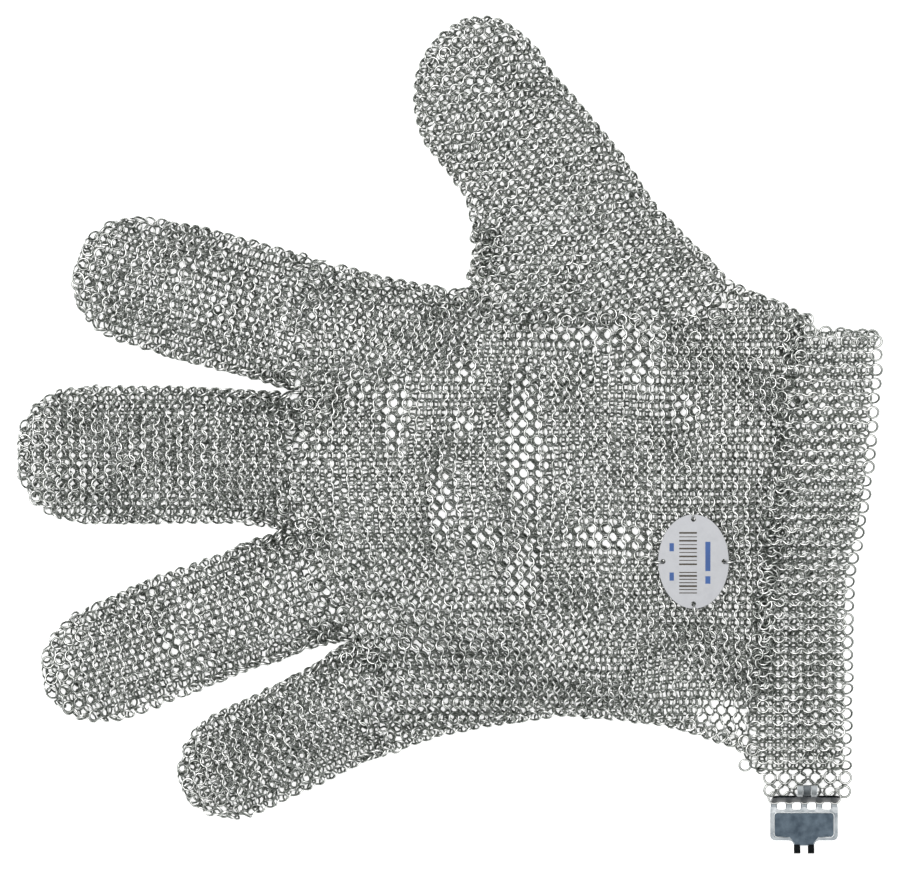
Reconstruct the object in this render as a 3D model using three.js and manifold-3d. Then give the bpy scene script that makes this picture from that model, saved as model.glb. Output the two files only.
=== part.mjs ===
// Ring-mesh glove lying flat on a table, back of the hand up.
// Millimetres, +Z up. The fingers point to -X, the thumb to +Y and the cuff lies at +X.
// The underside of the mesh lies on the table at z = 0, and x = y = 0 is the middle of the outline.

import * as THREE from 'three';
import { mergeVertices } from 'three/addons/utils/BufferGeometryUtils.js';
import Module from 'manifold-3d';

const wasm = await Module();
wasm.setup();

// Rings of the mesh
const ringOuterDiameter = 4.0;
const wireDiameter = 0.55;
const ringPathRadius = (ringOuterDiameter - wireDiameter) / 2;

// Walls of linked rings
const meshWall = 1.6;
const foldWall = 2.3;
const edgeHeight = 2.2;
const edgeRadius = 2.8;
const pieceGap = 0.3;
const domeRound = 0.85;
const leastDome = 0.2;
const tipSteps = 5;
const tipQuarter = 86;
const tipFall = 0.75;
const cutLow = -5;
const cutHigh = 30;
const meshTolerance = 0.02;

// Bounds that outlines reach to where they only have to pass the object's edge
const beyond = { left: -135, right: 130, low: -125, high: 135 };

// Oval tag
const tagWidth = 20.8;
const tagLength = 27.7;
const tagThickness = 0.6;
const tagCentre = [71.5, -37.5];
const tagUnderside = 10.15;
const tagHoleDiameter = 1.35;
const tagHoleInset = 1.45;
const tagWellRoom = 0.5;
const tagWellFloor = 5;

// Clasp of folded sheet
const claspThickness = 0.6;
const claspCentreX = 104.6;
const claspWidth = 19.7;
const leafLength = 8.6;
const leafCorner = 1.4;
const neckWidth = 6.0;
const neckLength = 1.6;
const prongWidth = 1.9;
const prongLength = 2.5;
const barCount = 5;
const barPitch = 4.45;
const barWidth = 1.8;
const barLength = 2.4;
const lowBarLength = 2.1;
const bendRadius = 1.0;
const bendSteps = 5;
const weld = 0.4;
const prongCurl = 0.5;
const leafRise = THREE.MathUtils.degToRad(78);
const prongRise = THREE.MathUtils.degToRad(40);
const claspFoldY = -108.9;
const linkRingY = -107.3;
const linkRingHeight = 2.05;
const ringSides = 6;
const ringSteps = 14;

// Outline of each finger: its tip, then sections from the tip to the root.
// a is the edge on the little-finger side, b the edge on the thumb side, rise the height of the middle.
const fingers = {
  index_finger: {
    tip: [-109.9, 50.2],
    tipTurn: 0,
    tipRound: 0.86,
    sections: [
      { ax: -95.6, ay: 26.6, bx: -87.4, by: 63.6, rise: 8.2 },
      { ax: -76.3, ay: 20.9, bx: -66.3, by: 59.2, rise: 8.8 },
      { ax: -61.6, ay: 17.0, bx: -51.6, by: 55.1, rise: 9.4 },
      { ax: -55.2, ay: 14.6, bx: -43.4, by: 52.6, rise: 9.4 },
      { ax: -42.0, ay: 9.6, bx: -34.0, by: 49.4, rise: 8.8 },
      { ax: -29.0, ay: 5.0, bx: -21.0, by: 43.0, rise: 6.0 },
    ],
  },
  middle_finger: {
    tip: [-127.1, -6.0],
    tipTurn: 0,
    tipRound: 0.78,
    sections: [
      { ax: -107.5, ay: -26.2, bx: -107.5, by: 13.8, rise: 8.4 },
      { ax: -91.0, ay: -26.5, bx: -91.0, by: 13.9, rise: 8.8 },
      { ax: -73.4, ay: -26.2, bx: -73.4, by: 13.6, rise: 9.2 },
      { ax: -53.8, ay: -28.0, bx: -55.2, by: 13.0, rise: 9.6 },
      { ax: -41.0, ay: -28.4, bx: -42.5, by: 12.2, rise: 9.0 },
      { ax: -25.0, ay: -28.4, bx: -26.5, by: 12.2, rise: 6.2 },
    ],
  },
  ring_finger: {
    tip: [-119.4, -73.6],
    tipTurn: 0,
    tipRound: 0.74,
    sections: [
      { ax: -94.0, ay: -83.6, bx: -104.9, by: -50.7, rise: 8.0 },
      { ax: -74.3, ay: -75.9, bx: -86.6, by: -42.2, rise: 8.6 },
      { ax: -55.4, ay: -68.6, bx: -67.5, by: -35.7, rise: 9.2 },
      { ax: -35.0, ay: -63.2, bx: -53.2, by: -29.4, rise: 9.4 },
      { ax: -22.8, ay: -59.7, bx: -41.0, by: -25.4, rise: 9.0 },
      { ax: -8.0, ay: -55.5, bx: -26.0, by: -20.5, rise: 6.2 },
    ],
  },
  little_finger: {
    tip: [-78.9, -104.0],
    tipTurn: 0,
    tipRound: 0.86,
    sections: [
      { ax: -55.1, ay: -111.2, bx: -69.3, by: -82.4, rise: 7.8 },
      { ax: -39.3, ay: -103.8, bx: -52.8, by: -74.4, rise: 8.4 },
      { ax: -24.0, ay: -96.4, bx: -38.1, by: -66.2, rise: 9.0 },
      { ax: -17.6, ay: -94.0, bx: -33.6, by: -63.8, rise: 9.0 },
      { ax: -6.4, ay: -88.6, bx: -22.8, by: -58.4, rise: 8.6 },
      { ax: 6.4, ay: -83.0, bx: -8.5, by: -54.0, rise: 6.0 },
    ],
  },
  thumb: {
    tip: [9.2, 123.7],
    tipTurn: -19,
    tipRound: 1.1,
    sections: [
      { ax: -10.9, ay: 97.6, bx: 28.6, by: 107.6, rise: 8.4 },
      { ax: -7.6, ay: 86.0, bx: 34.0, by: 103.0, rise: 9.0 },
      { ax: -0.4, ay: 76.7, bx: 39.4, by: 95.2, rise: 9.4 },
      { ax: 4.7, ay: 69.4, bx: 46.2, by: 87.5, rise: 9.6 },
      { ax: 7.6, ay: 57.4, bx: 53.6, by: 77.8, rise: 9.8 },
      { ax: 4.9, ay: 43.7, bx: 61.6, by: 66.2, rise: 10.0 },
      { ax: 9.0, ay: 33.6, bx: 73.4, by: 54.6, rise: 10.2 },
      { ax: 20.7, ay: 24.0, bx: 83.6, by: 43.2, rise: 9.6 },
      { ax: 34.0, ay: 14.0, bx: 92.0, by: 36.4, rise: 6.6 },
    ],
  },
};

// Sections of the hand from the knuckles to the wrist.
const handSections = [
  { ax: -57.2, ay: -104.9, bx: -57.2, by: 55.4, rise: 7.0 },
  { ax: -33.7, ay: -100.4, bx: -33.7, by: 50.2, rise: 9.2 },
  { ax: -17.8, ay: -94.2, bx: -18.1, by: 46.0, rise: 10.2 },
  { ax: -2.8, ay: -89.1, bx: -2.8, by: 43.1, rise: 10.6 },
  { ax: 14.9, ay: -85.8, bx: 14.9, by: 46.0, rise: 10.6 },
  { ax: 32.5, ay: -83.2, bx: 32.5, by: 52.0, rise: 10.4 },
  { ax: 50.1, ay: -84.4, bx: 50.1, by: 55.0, rise: 10.0 },
  { ax: 67.8, ay: -87.0, bx: 67.8, by: 52.0, rise: 9.6 },
  { ax: 84.0, ay: -92.6, bx: 84.0, by: 44.6, rise: 9.0 },
  { ax: 95.7, ay: -92.5, bx: 95.7, by: 39.4, rise: 8.6 },
  { ax: 110.0, ay: -92.9, bx: 110.0, by: 31.6, rise: 8.6 },
];

// Soft folds and dents in the upper layer: middle, half length, half width, turn in degrees, depth.
const folds = [
  { x: -48, y: -7, long: 30, wide: 7, turn: 88, depth: -0.9 },
  { x: -36, y: -50, long: 22, wide: 6, turn: 60, depth: -0.8 },
  { x: -40, y: 32, long: 20, wide: 6, turn: 105, depth: -0.7 },
  { x: 22, y: 36, long: 26, wide: 6, turn: 4, depth: -1.1 },
  { x: 62, y: 34, long: 20, wide: 5, turn: 0, depth: -0.8 },
  { x: 20, y: 80, long: 16, wide: 6, turn: -30, depth: -0.6 },
  { x: -88, y: -8, long: 16, wide: 5, turn: 80, depth: -0.5 },
  { x: 96, y: -10, long: 36, wide: 4, turn: 96, depth: 0.7 },
];

// Lines where one piece meets the next
const knuckleLine = [[-43.0, 56.0], [-54.8, 13.8], [-53.3, -28.8], [-34.2, -63.5], [-17.0, -98.0]];
const thumbSeam = [
  [1.0, 48.0], [4.0, 42.0], [9.0, 36.0], [16.0, 33.6], [73.7, 33.6], [79.0, 38.0], [85.5, 49.0],
];
const wristLine = [
  [106.6, 37.0], [102.0, 27.5], [98.7, 18.7], [95.7, -4.9], [92.8, -37.2], [90.4, -63.7], [87.8, -96.0],
];
const indexMiddleGap = [[-54.8, 13.8], [-73.4, 17.0], [-102.8, 21.6], [beyond.left, 26.0]];
const middleRingGap = [[-53.3, -28.8], [-61.6, -30.1], [-73.4, -33.2], [beyond.left, -52.0]];
const ringLittleGap = [
  [-34.2, -63.5], [-38.1, -65.2], [-52.8, -71.2], [-69.0, -78.8], [beyond.left, -115.0],
];

// Open edge between the two layers on the little-finger side of the wrist
const slit = { fromX: 74.0, toX: 89.0, outsideY: -96.0, insideY: -86.0, low: 1.6, high: 2.9 };

// Cuff: middle line of its band from the strap's end over the thumb-side fold to the rear layer's end
const cuffBand = [
  [-105.0, 2.6], [-100.5, 3.9], [-94.0, 5.2], [-80.0, 6.7], [-55.0, 7.6], [-10.0, 7.8],
  [15.0, 7.3], [25.0, 5.9], [29.0, 4.3], [30.2, 2.7], [28.8, 1.2], [25.5, 0.8], [-101.9, 0.8],
];
const cuffFoldDrop = 0.14;
const cuffFoldShift = 0.5;
const cuffReferenceX = 104.9;
const cuffFrom = 84.0;
const cuffTo = 132.0;
const cuffSteps = 4;
const cuffFoldWidth = 25;
const cuffOuterEdge = [
  [127.5, 40.0], [127.5, 28.4], [126.0, 9.9], [124.9, -1.9], [123.7, -13.7], [121.3, -31.3],
  [118.7, -41.6], [118.4, -63.7], [118.4, -99.0], [117.2, -105.0],
];
const strapInnerEdge = [[93.7, -105.0], [91.3, -100.4], [86.0, -98.2], [86.0, -95.5]];
const rearLayerInset = 2.6;
const rearLayerEndY = -106;
const rearLayerTop = 1.7;

function steel(colour, roughness) {
  return new THREE.MeshStandardMaterial({ color: colour, roughness, metalness: 1.0 });
}

const materials = {
  mesh: steel(0x969894, 0.32),
  ring: steel(0xb4b7b5, 0.25),
  clasp: steel(0x8d979c, 0.2),
  tag: steel(0xd0d2d1, 0.45),
};

// Drops collapsed triangles, merges shared corners and turns the faces outwards.
function cleanGeometry(source) {
  const bare = new THREE.BufferGeometry();
  bare.setAttribute('position', source.getAttribute('position'));
  if (source.index) bare.setIndex(source.index);
  const merged = mergeVertices(bare, 1e-4);
  const corners = merged.index.array;
  const position = merged.getAttribute('position');
  const kept = [];
  let volume = 0;
  const p = new THREE.Vector3();
  const q = new THREE.Vector3();
  const r = new THREE.Vector3();
  for (let i = 0; i < corners.length; i += 3) {
    const [a, b, c] = [corners[i], corners[i + 1], corners[i + 2]];
    if (a === b || b === c || c === a) continue;
    kept.push([a, b, c]);
    p.fromBufferAttribute(position, a);
    q.fromBufferAttribute(position, b);
    r.fromBufferAttribute(position, c);
    volume += p.dot(q.cross(r));
  }
  const ordered = volume < 0 ? kept.map(([a, b, c]) => [a, c, b]) : kept;
  merged.setIndex(ordered.flat());
  return merged;
}

function toSolid(source) {
  const geometry = cleanGeometry(source);
  const mesh = new wasm.Mesh({
    numProp: 3,
    vertProperties: Float32Array.from(geometry.getAttribute('position').array),
    triVerts: Uint32Array.from(geometry.index.array),
  });
  return new wasm.Manifold(mesh);
}

function toGeometry(solid) {
  const mesh = solid.getMesh();
  const geometry = new THREE.BufferGeometry();
  geometry.setAttribute('position', new THREE.Float32BufferAttribute(mesh.vertProperties, 3));
  geometry.setIndex(Array.from(mesh.triVerts));
  return geometry;
}

function joinAll(solids) {
  return solids.slice(1).reduce((whole, next) => whole.add(next), solids[0]);
}

// Height that the folds add at a point: each is a long soft bump or dent.
function foldHeight(x, y) {
  let height = 0;
  for (const fold of folds) {
    const angle = THREE.MathUtils.degToRad(fold.turn);
    const along = (x - fold.x) * Math.cos(angle) + (y - fold.y) * Math.sin(angle);
    const across = (y - fold.y) * Math.cos(angle) - (x - fold.x) * Math.sin(angle);
    height += fold.depth * Math.exp(-((along / fold.long) ** 2) - (across / fold.wide) ** 2);
  }
  return height;
}

// Moves both edges of a section inwards by the same amount.
function insetSection(section, amount) {
  const width = Math.hypot(section.bx - section.ax, section.by - section.ay);
  const dx = ((section.bx - section.ax) / width) * amount;
  const dy = ((section.by - section.ay) / width) * amount;
  return { ...section, ax: section.ax + dx, ay: section.ay + dy, bx: section.bx - dx, by: section.by - dy };
}

// Sections of a rounded fingertip: a quarter turn from the tip to the first full section,
// whose direction turns by tipTurn degrees on the way to the tip.
function tipSections({ tip, tipTurn, tipRound }, first) {
  const cx = (first.ax + first.bx) / 2;
  const cy = (first.ay + first.by) / 2;
  const sections = [];
  for (let k = tipSteps; k > 0; k -= 1) {
    const angle = THREE.MathUtils.degToRad((tipQuarter * k) / tipSteps);
    const reach = Math.sin(angle);
    const breadth = Math.cos(angle) ** tipRound;
    const x = cx + (tip[0] - cx) * reach;
    const y = cy + (tip[1] - cy) * reach;
    const turn = THREE.MathUtils.degToRad(tipTurn * reach);
    const hx = ((first.bx - cx) * Math.cos(turn) - (first.by - cy) * Math.sin(turn)) * breadth;
    const hy = ((first.bx - cx) * Math.sin(turn) + (first.by - cy) * Math.cos(turn)) * breadth;
    sections.push({
      ax: x - hx,
      ay: y - hy,
      bx: x + hx,
      by: y + hy,
      rise: edgeHeight + (first.rise - edgeHeight) * Math.cos(angle) ** tipFall,
    });
  }
  return sections;
}

// A flattened sleeve as one closed body: flat below, low at both edges and domed above.
// The dome falls off as 1 - |v|^flatness, where v runs from -1 at edge a to 1 at edge b.
function flatSleeve(sections, { columns, flatness, ceiling, floor }) {
  const points = [];
  const triangles = [];
  const perRow = columns + 1;
  for (const section of sections) {
    const half = Math.hypot(section.bx - section.ax, section.by - section.ay) / 2;
    for (const side of ['top', 'bottom']) {
      for (let j = 0; j <= columns; j += 1) {
        const v = j === columns ? 1 : -Math.cos((Math.PI * j) / columns);
        const x = section.ax + ((section.bx - section.ax) * (v + 1)) / 2;
        const y = section.ay + ((section.by - section.ay) * (v + 1)) / 2;
        const dome = (1 - Math.abs(v) ** flatness) ** domeRound;
        const room = Math.max(section.rise - ceiling - edgeHeight, leastDome);
        const nearEdge = Math.max(0, 1 - ((1 - Math.abs(v)) * half) / edgeRadius);
        const top = edgeHeight + (room + foldHeight(x, y)) * dome;
        const bottom = floor + (edgeHeight - floor) * (1 - Math.sqrt(1 - nearEdge ** 2));
        points.push(x, y, side === 'top' ? Math.max(top, edgeHeight) : bottom);
      }
    }
  }
  const at = (row, side, j) => (row * 2 + side) * perRow + j;
  const quad = (a, b, c, d) => triangles.push(a, b, c, a, c, d);
  const last = sections.length - 1;
  for (let j = 0; j < columns; j += 1) {
    for (let row = 0; row < last; row += 1) {
      quad(at(row, 0, j), at(row + 1, 0, j), at(row + 1, 0, j + 1), at(row, 0, j + 1));
      quad(at(row, 1, j + 1), at(row + 1, 1, j + 1), at(row + 1, 1, j), at(row, 1, j));
    }
    quad(at(0, 0, j), at(0, 0, j + 1), at(0, 1, j + 1), at(0, 1, j));
    quad(at(last, 1, j), at(last, 1, j + 1), at(last, 0, j + 1), at(last, 0, j));
  }
  const geometry = new THREE.BufferGeometry();
  geometry.setAttribute('position', new THREE.Float32BufferAttribute(points, 3));
  geometry.setIndex(triangles);
  return toSolid(geometry);
}

// The outside and the hollow of one finger or thumb.
function fingerBodies(finger) {
  const { tip, sections } = finger;
  const settings = { columns: 12, flatness: 2.8 };
  const outerRows = [...tipSections(finger, sections[0]), ...sections];
  const first = sections[0];
  const cx = (first.ax + first.bx) / 2;
  const cy = (first.ay + first.by) / 2;
  const reach = Math.hypot(tip[0] - cx, tip[1] - cy);
  const innerTip = [tip[0] + ((cx - tip[0]) * foldWall) / reach, tip[1] + ((cy - tip[1]) * foldWall) / reach];
  const innerSections = sections.map((section) => insetSection(section, foldWall));
  const innerRows = [...tipSections({ ...finger, tip: innerTip }, innerSections[0]), ...innerSections];
  return {
    outside: flatSleeve(outerRows, { ...settings, ceiling: 0, floor: 0 }),
    hollow: flatSleeve(innerRows, { ...settings, ceiling: meshWall, floor: meshWall }),
  };
}

// A vertical prism over an outline seen from above.
function prism(outline, low, high) {
  const shape = new THREE.Shape(outline.map(([x, y]) => new THREE.Vector2(x, y)));
  const geometry = new THREE.ExtrudeGeometry(shape, { depth: high - low, bevelEnabled: false });
  geometry.translate(0, 0, low);
  return toSolid(geometry);
}

// A thin upright curtain along a line, which parts two neighbouring pieces.
function curtain(line, thickness) {
  const half = thickness / 2;
  const panels = line.slice(1).map(([qx, qy], i) => {
    const [px, py] = line[i];
    const length = Math.hypot(qx - px, qy - py);
    const ux = ((qx - px) / length) * half;
    const uy = ((qy - py) / length) * half;
    return prism(
      [
        [px - ux - uy, py - uy + ux], [px - ux + uy, py - uy - ux],
        [qx + ux + uy, qy + uy - ux], [qx + ux - uy, qy + uy + ux],
      ],
      cutLow, cutHigh,
    );
  });
  return joinAll(panels);
}

const group = new THREE.Group();

function addPiece(name, geometry, material) {
  const mesh = new THREE.Mesh(geometry, material);
  mesh.name = name;
  group.add(mesh);
  return mesh;
}

// Hand, fingers and thumb: one hollow skin of rings, parted at the knuckles and at the thumb's seam
function addSleeves() {
  const handStyle = { columns: 22, flatness: 4.5 };
  const bodies = Object.values(fingers).map(fingerBodies);
  const thumbCrotch = [-20, 55];
  const wristTop = [wristLine[0][0], 60];
  const indexSide = 80;
  const openWrist = [[beyond.right, wristTop[1]], [beyond.right, beyond.low]];
  const region = {
    index_finger: [...indexMiddleGap.slice(1).reverse(), knuckleLine[1], knuckleLine[0],
      [knuckleLine[0][0], indexSide], [beyond.left, indexSide]],
    middle_finger: [...indexMiddleGap.slice(1).reverse(), knuckleLine[1], knuckleLine[2],
      ...middleRingGap.slice(1)],
    ring_finger: [...middleRingGap.slice(1).reverse(), knuckleLine[2], knuckleLine[3],
      ...ringLittleGap.slice(1)],
    little_finger: [...ringLittleGap.slice(1).reverse(), knuckleLine[3], knuckleLine[4],
      [knuckleLine[4][0], beyond.low], [beyond.left, beyond.low]],
    thumb: [thumbCrotch, ...thumbSeam, [beyond.right, wristTop[1]], [beyond.right, beyond.high],
      [thumbCrotch[0], beyond.high]],
    hand: [...knuckleLine.slice().reverse(), thumbCrotch, ...thumbSeam, wristTop, ...wristLine],
  };
  const handOutline = prism(region.hand, cutLow, cutHigh);
  const knuckleWall = curtain(knuckleLine.slice(1, 4), 2 * foldWall);
  const handOutside = flatSleeve(handSections, { ...handStyle, ceiling: 0, floor: 0 }).intersect(handOutline);
  const innerRows = handSections.map((section) => insetSection(section, foldWall));
  const handHollow = flatSleeve(innerRows, { ...handStyle, ceiling: meshWall, floor: meshWall })
    .subtract(knuckleWall)
    .intersect(prism([...region.hand.slice(0, -wristLine.length), ...openWrist], cutLow, cutHigh));
  const slitCorners = [
    [slit.fromX, slit.outsideY], [slit.toX, slit.outsideY],
    [slit.toX, slit.insideY], [slit.fromX, slit.insideY],
  ];
  const slitBox = prism(slitCorners, slit.low, slit.high);
  const outside = joinAll([handOutside, ...bodies.map((body) => body.outside)]);
  const hollow = joinAll([handHollow, slitBox, ...bodies.map((body) => body.hollow)]);
  const seams = joinAll([knuckleLine, thumbSeam, wristLine].map((line) => curtain(line, pieceGap)));
  const skin = outside.subtract(hollow).subtract(seams);
  for (const [name, outline] of Object.entries(region)) {
    const piece = skin.intersect(prism(outline, cutLow, cutHigh));
    const carved = name === 'hand' ? piece.subtract(tagRingWells()) : piece;
    addPiece(name, toGeometry(carved.simplify(meshTolerance)), materials.mesh);
  }
}

// Where the four rings of the tag stand: a radial direction and the place of each hole.
function tagRingPlaces() {
  const reachX = tagWidth / 2 - tagHoleInset;
  const reachY = tagLength / 2 - tagHoleInset;
  return [[0, 1], [-1, 0], [0, -1], [1, 0]].map(([dx, dy]) => ({
    dx,
    dy,
    x: tagCentre[0] + dx * reachX,
    y: tagCentre[1] + dy * reachY,
  }));
}

// Slots in the upper layer under the tag, where the four rings dip between the rings of the mesh.
function tagRingWells() {
  const long = ringOuterDiameter / 2 + tagWellRoom;
  const wide = wireDiameter / 2 + tagWellRoom;
  const wells = tagRingPlaces().map(({ dx, dy, x, y }) => {
    const cx = x + dx * ringPathRadius;
    const cy = y + dy * ringPathRadius;
    const hx = dx === 0 ? wide : long;
    const hy = dy === 0 ? wide : long;
    const corners = [[cx - hx, cy - hy], [cx + hx, cy - hy], [cx + hx, cy + hy], [cx - hx, cy + hy]];
    return prism(corners, tagWellFloor, cutHigh);
  });
  return joinAll(wells);
}

function ringGeometry() {
  return new THREE.TorusGeometry(ringPathRadius, wireDiameter / 2, ringSides, ringSteps);
}

function addTag() {
  const shape = new THREE.Shape();
  shape.absellipse(0, 0, tagWidth / 2, tagLength / 2, 0, Math.PI * 2);
  for (const place of tagRingPlaces()) {
    const hole = new THREE.Path();
    hole.absarc(place.x - tagCentre[0], place.y - tagCentre[1], tagHoleDiameter / 2, 0, Math.PI * 2, true);
    shape.holes.push(hole);
  }
  const plate = new THREE.ExtrudeGeometry(shape, {
    depth: tagThickness, bevelEnabled: false, curveSegments: 10,
  });
  const tag = addPiece('tag', cleanGeometry(plate), materials.tag);
  tag.position.set(tagCentre[0], tagCentre[1], tagUnderside);
  tagRingPlaces().forEach(({ dx, dy, x, y }, i) => {
    const ring = addPiece(`tag_ring_${i + 1}`, cleanGeometry(ringGeometry()), materials.ring);
    ring.position.set(
      x + dx * ringPathRadius,
      y + dy * ringPathRadius,
      tagUnderside + tagThickness / 2,
    );
    ring.rotation.set(Math.PI / 2, dx === 0 ? Math.PI / 2 : 0, 0);
  });
}

// The cuff: a band that runs along the strap, over the thumb-side fold and back under the hand
function addCuff() {
  const half = meshWall / 2;
  const left = [];
  const right = [];
  cuffBand.forEach(([y, z], i) => {
    const before = cuffBand[Math.max(i - 1, 0)];
    const after = cuffBand[Math.min(i + 1, cuffBand.length - 1)];
    const length = Math.hypot(after[0] - before[0], after[1] - before[1]);
    const ny = -(after[1] - before[1]) / length;
    const nz = (after[0] - before[0]) / length;
    left.push(new THREE.Vector2(y + ny * half, z + nz * half));
    right.push(new THREE.Vector2(y - ny * half, z - nz * half));
  });
  const shape = new THREE.Shape([...left, ...right.reverse()]);
  const depth = cuffTo - cuffFrom;
  const strip = new THREE.ExtrudeGeometry(shape, { depth, steps: cuffSteps, bevelEnabled: false });
  const position = strip.getAttribute('position');
  for (let i = 0; i < position.count; i += 1) {
    const x = cuffFrom + position.getZ(i);
    const y = position.getX(i);
    const z = position.getY(i);
    const pull = THREE.MathUtils.smoothstep(y, 0, cuffFoldWidth);
    position.setXYZ(i, x, y + pull * (cuffFoldShift - (x - cuffReferenceX) * cuffFoldDrop), Math.max(z, 0));
  }
  const outline = [...cuffOuterEdge, ...strapInnerEdge, ...wristLine.slice().reverse()];
  const rearEdge = cuffOuterEdge.slice(-3).map(([x, y]) => [x - rearLayerInset, y]);
  const rearCut = prism([
    [beyond.right, rearEdge[0][1]], ...rearEdge,
    [cuffFrom, rearLayerEndY], [cuffFrom, beyond.low], [beyond.right, beyond.low],
  ], cutLow, rearLayerTop);
  const cuff = toSolid(strip)
    .intersect(prism(outline, cutLow, cutHigh))
    .subtract(curtain(wristLine, pieceGap))
    .subtract(rearCut);
  addPiece('cuff', toGeometry(cuff), materials.mesh);
}

// One leaf of the clasp in its own plane: root along y = 0, then a neck that parts into two prongs.
function leafOutline() {
  const w = claspWidth / 2;
  const n = neckWidth / 2;
  const shape = new THREE.Shape();
  shape.moveTo(-w, 0);
  shape.lineTo(-w, leafLength - leafCorner);
  shape.quadraticCurveTo(-w, leafLength, -w + leafCorner, leafLength);
  shape.lineTo(-n - neckLength, leafLength);
  shape.quadraticCurveTo(-n, leafLength, -n, leafLength + neckLength);
  shape.lineTo(n, leafLength + neckLength);
  shape.quadraticCurveTo(n, leafLength, n + neckLength, leafLength);
  shape.lineTo(w - leafCorner, leafLength);
  shape.quadraticCurveTo(w, leafLength, w, leafLength - leafCorner);
  shape.lineTo(w, 0);
  shape.closePath();
  return shape;
}

// A strip of the clasp's sheet along a path in the YZ plane, as wide as given.
function sheetStrip(path, centreX, width) {
  const half = claspThickness / 2;
  const above = [];
  const below = [];
  path.forEach((point, i) => {
    const before = path[Math.max(i - 1, 0)];
    const after = path[Math.min(i + 1, path.length - 1)];
    const along = new THREE.Vector2().subVectors(after, before).normalize();
    above.push(new THREE.Vector2(point.x - along.y * half, point.y + along.x * half));
    below.push(new THREE.Vector2(point.x + along.y * half, point.y - along.x * half));
  });
  const shape = new THREE.Shape([...above, ...below.reverse()]);
  const geometry = new THREE.ExtrudeGeometry(shape, { depth: width, bevelEnabled: false });
  const position = geometry.getAttribute('position');
  for (let i = 0; i < position.count; i += 1) {
    const [y, z, x] = [position.getX(i), position.getY(i), position.getZ(i)];
    position.setXYZ(i, centreX - width / 2 + x, y, z);
  }
  return toSolid(geometry);
}

function addClasp() {
  const half = claspThickness / 2;
  const lowRoot = claspFoldY - lowBarLength;
  const path = [new THREE.Vector2(lowRoot - weld, half), new THREE.Vector2(claspFoldY, half)];
  for (let k = 1; k <= bendSteps; k += 1) {
    const angle = -Math.PI / 2 + (leafRise * k) / bendSteps;
    path.push(new THREE.Vector2(
      claspFoldY + bendRadius * Math.cos(angle),
      half + bendRadius * (1 + Math.sin(angle)),
    ));
  }
  const bendEnd = path[path.length - 1];
  const along = new THREE.Vector2(Math.cos(leafRise), Math.sin(leafRise));
  const highRoot = bendEnd.clone().addScaledVector(along, barLength - weld);
  path.push(highRoot.clone().addScaledVector(along, weld));
  const parts = [];
  for (let i = 0; i < barCount; i += 1) {
    const x = claspCentreX + (i - (barCount - 1) / 2) * barPitch;
    parts.push(sheetStrip(path, x, barWidth));
  }
  const leaf = new THREE.ExtrudeGeometry(leafOutline(), {
    depth: claspThickness, bevelEnabled: false, curveSegments: 4,
  });
  const lower = leaf.clone();
  lower.rotateX(Math.PI);
  lower.translate(claspCentreX, lowRoot, claspThickness);
  parts.push(toSolid(lower));
  const upper = leaf.clone();
  upper.translate(0, 0, -half);
  upper.rotateX(leafRise);
  upper.translate(claspCentreX, highRoot.x, highRoot.y);
  parts.push(toSolid(upper));
  const neckEnd = highRoot.clone().addScaledVector(along, leafLength + neckLength);
  const curl = new THREE.Vector2(Math.cos(prongRise), Math.sin(prongRise));
  const highProng = [
    neckEnd.clone().addScaledVector(along, -weld),
    neckEnd,
    neckEnd.clone().addScaledVector(curl, prongLength),
  ];
  const lowEnd = lowRoot - leafLength - neckLength;
  const lowProng = [
    new THREE.Vector2(lowEnd - prongLength, half + prongCurl),
    new THREE.Vector2(lowEnd - prongLength / 2, half),
    new THREE.Vector2(lowEnd + weld, half),
  ];
  for (const side of [-1, 1]) {
    const x = claspCentreX + (side * (neckWidth - prongWidth)) / 2;
    parts.push(sheetStrip(highProng, x, prongWidth));
    parts.push(sheetStrip(lowProng, x, prongWidth));
  }
  addPiece('clasp', toGeometry(joinAll(parts)), materials.clasp);
}

// The last ring row of the strap, one ring lying round each bar of the clasp
function addLinkRings() {
  for (let i = 0; i < barCount; i += 1) {
    const ring = addPiece(`link_ring_${i + 1}`, cleanGeometry(ringGeometry()), materials.ring);
    ring.position.set(claspCentreX + (i - (barCount - 1) / 2) * barPitch, linkRingY, linkRingHeight);
  }
}

addSleeves();
addCuff();
addTag();
addClasp();
addLinkRings();

export default group;
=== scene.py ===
import math

import bpy
import numpy as np
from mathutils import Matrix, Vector


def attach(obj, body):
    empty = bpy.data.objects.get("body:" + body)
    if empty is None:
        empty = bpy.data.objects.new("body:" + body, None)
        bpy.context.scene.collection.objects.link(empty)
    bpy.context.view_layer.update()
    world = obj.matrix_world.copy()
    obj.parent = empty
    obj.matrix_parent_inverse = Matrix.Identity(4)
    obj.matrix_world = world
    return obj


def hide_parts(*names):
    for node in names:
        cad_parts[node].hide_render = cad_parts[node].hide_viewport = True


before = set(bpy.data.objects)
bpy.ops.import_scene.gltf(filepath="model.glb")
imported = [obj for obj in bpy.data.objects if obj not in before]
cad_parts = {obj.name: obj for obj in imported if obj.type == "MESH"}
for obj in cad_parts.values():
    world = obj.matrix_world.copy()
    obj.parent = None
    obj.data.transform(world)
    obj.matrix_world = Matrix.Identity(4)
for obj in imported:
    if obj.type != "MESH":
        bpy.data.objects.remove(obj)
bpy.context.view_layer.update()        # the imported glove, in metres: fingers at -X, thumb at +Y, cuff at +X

mm = 0.001
dice = np.random.default_rng(11)
print("frame loaded")

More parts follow.
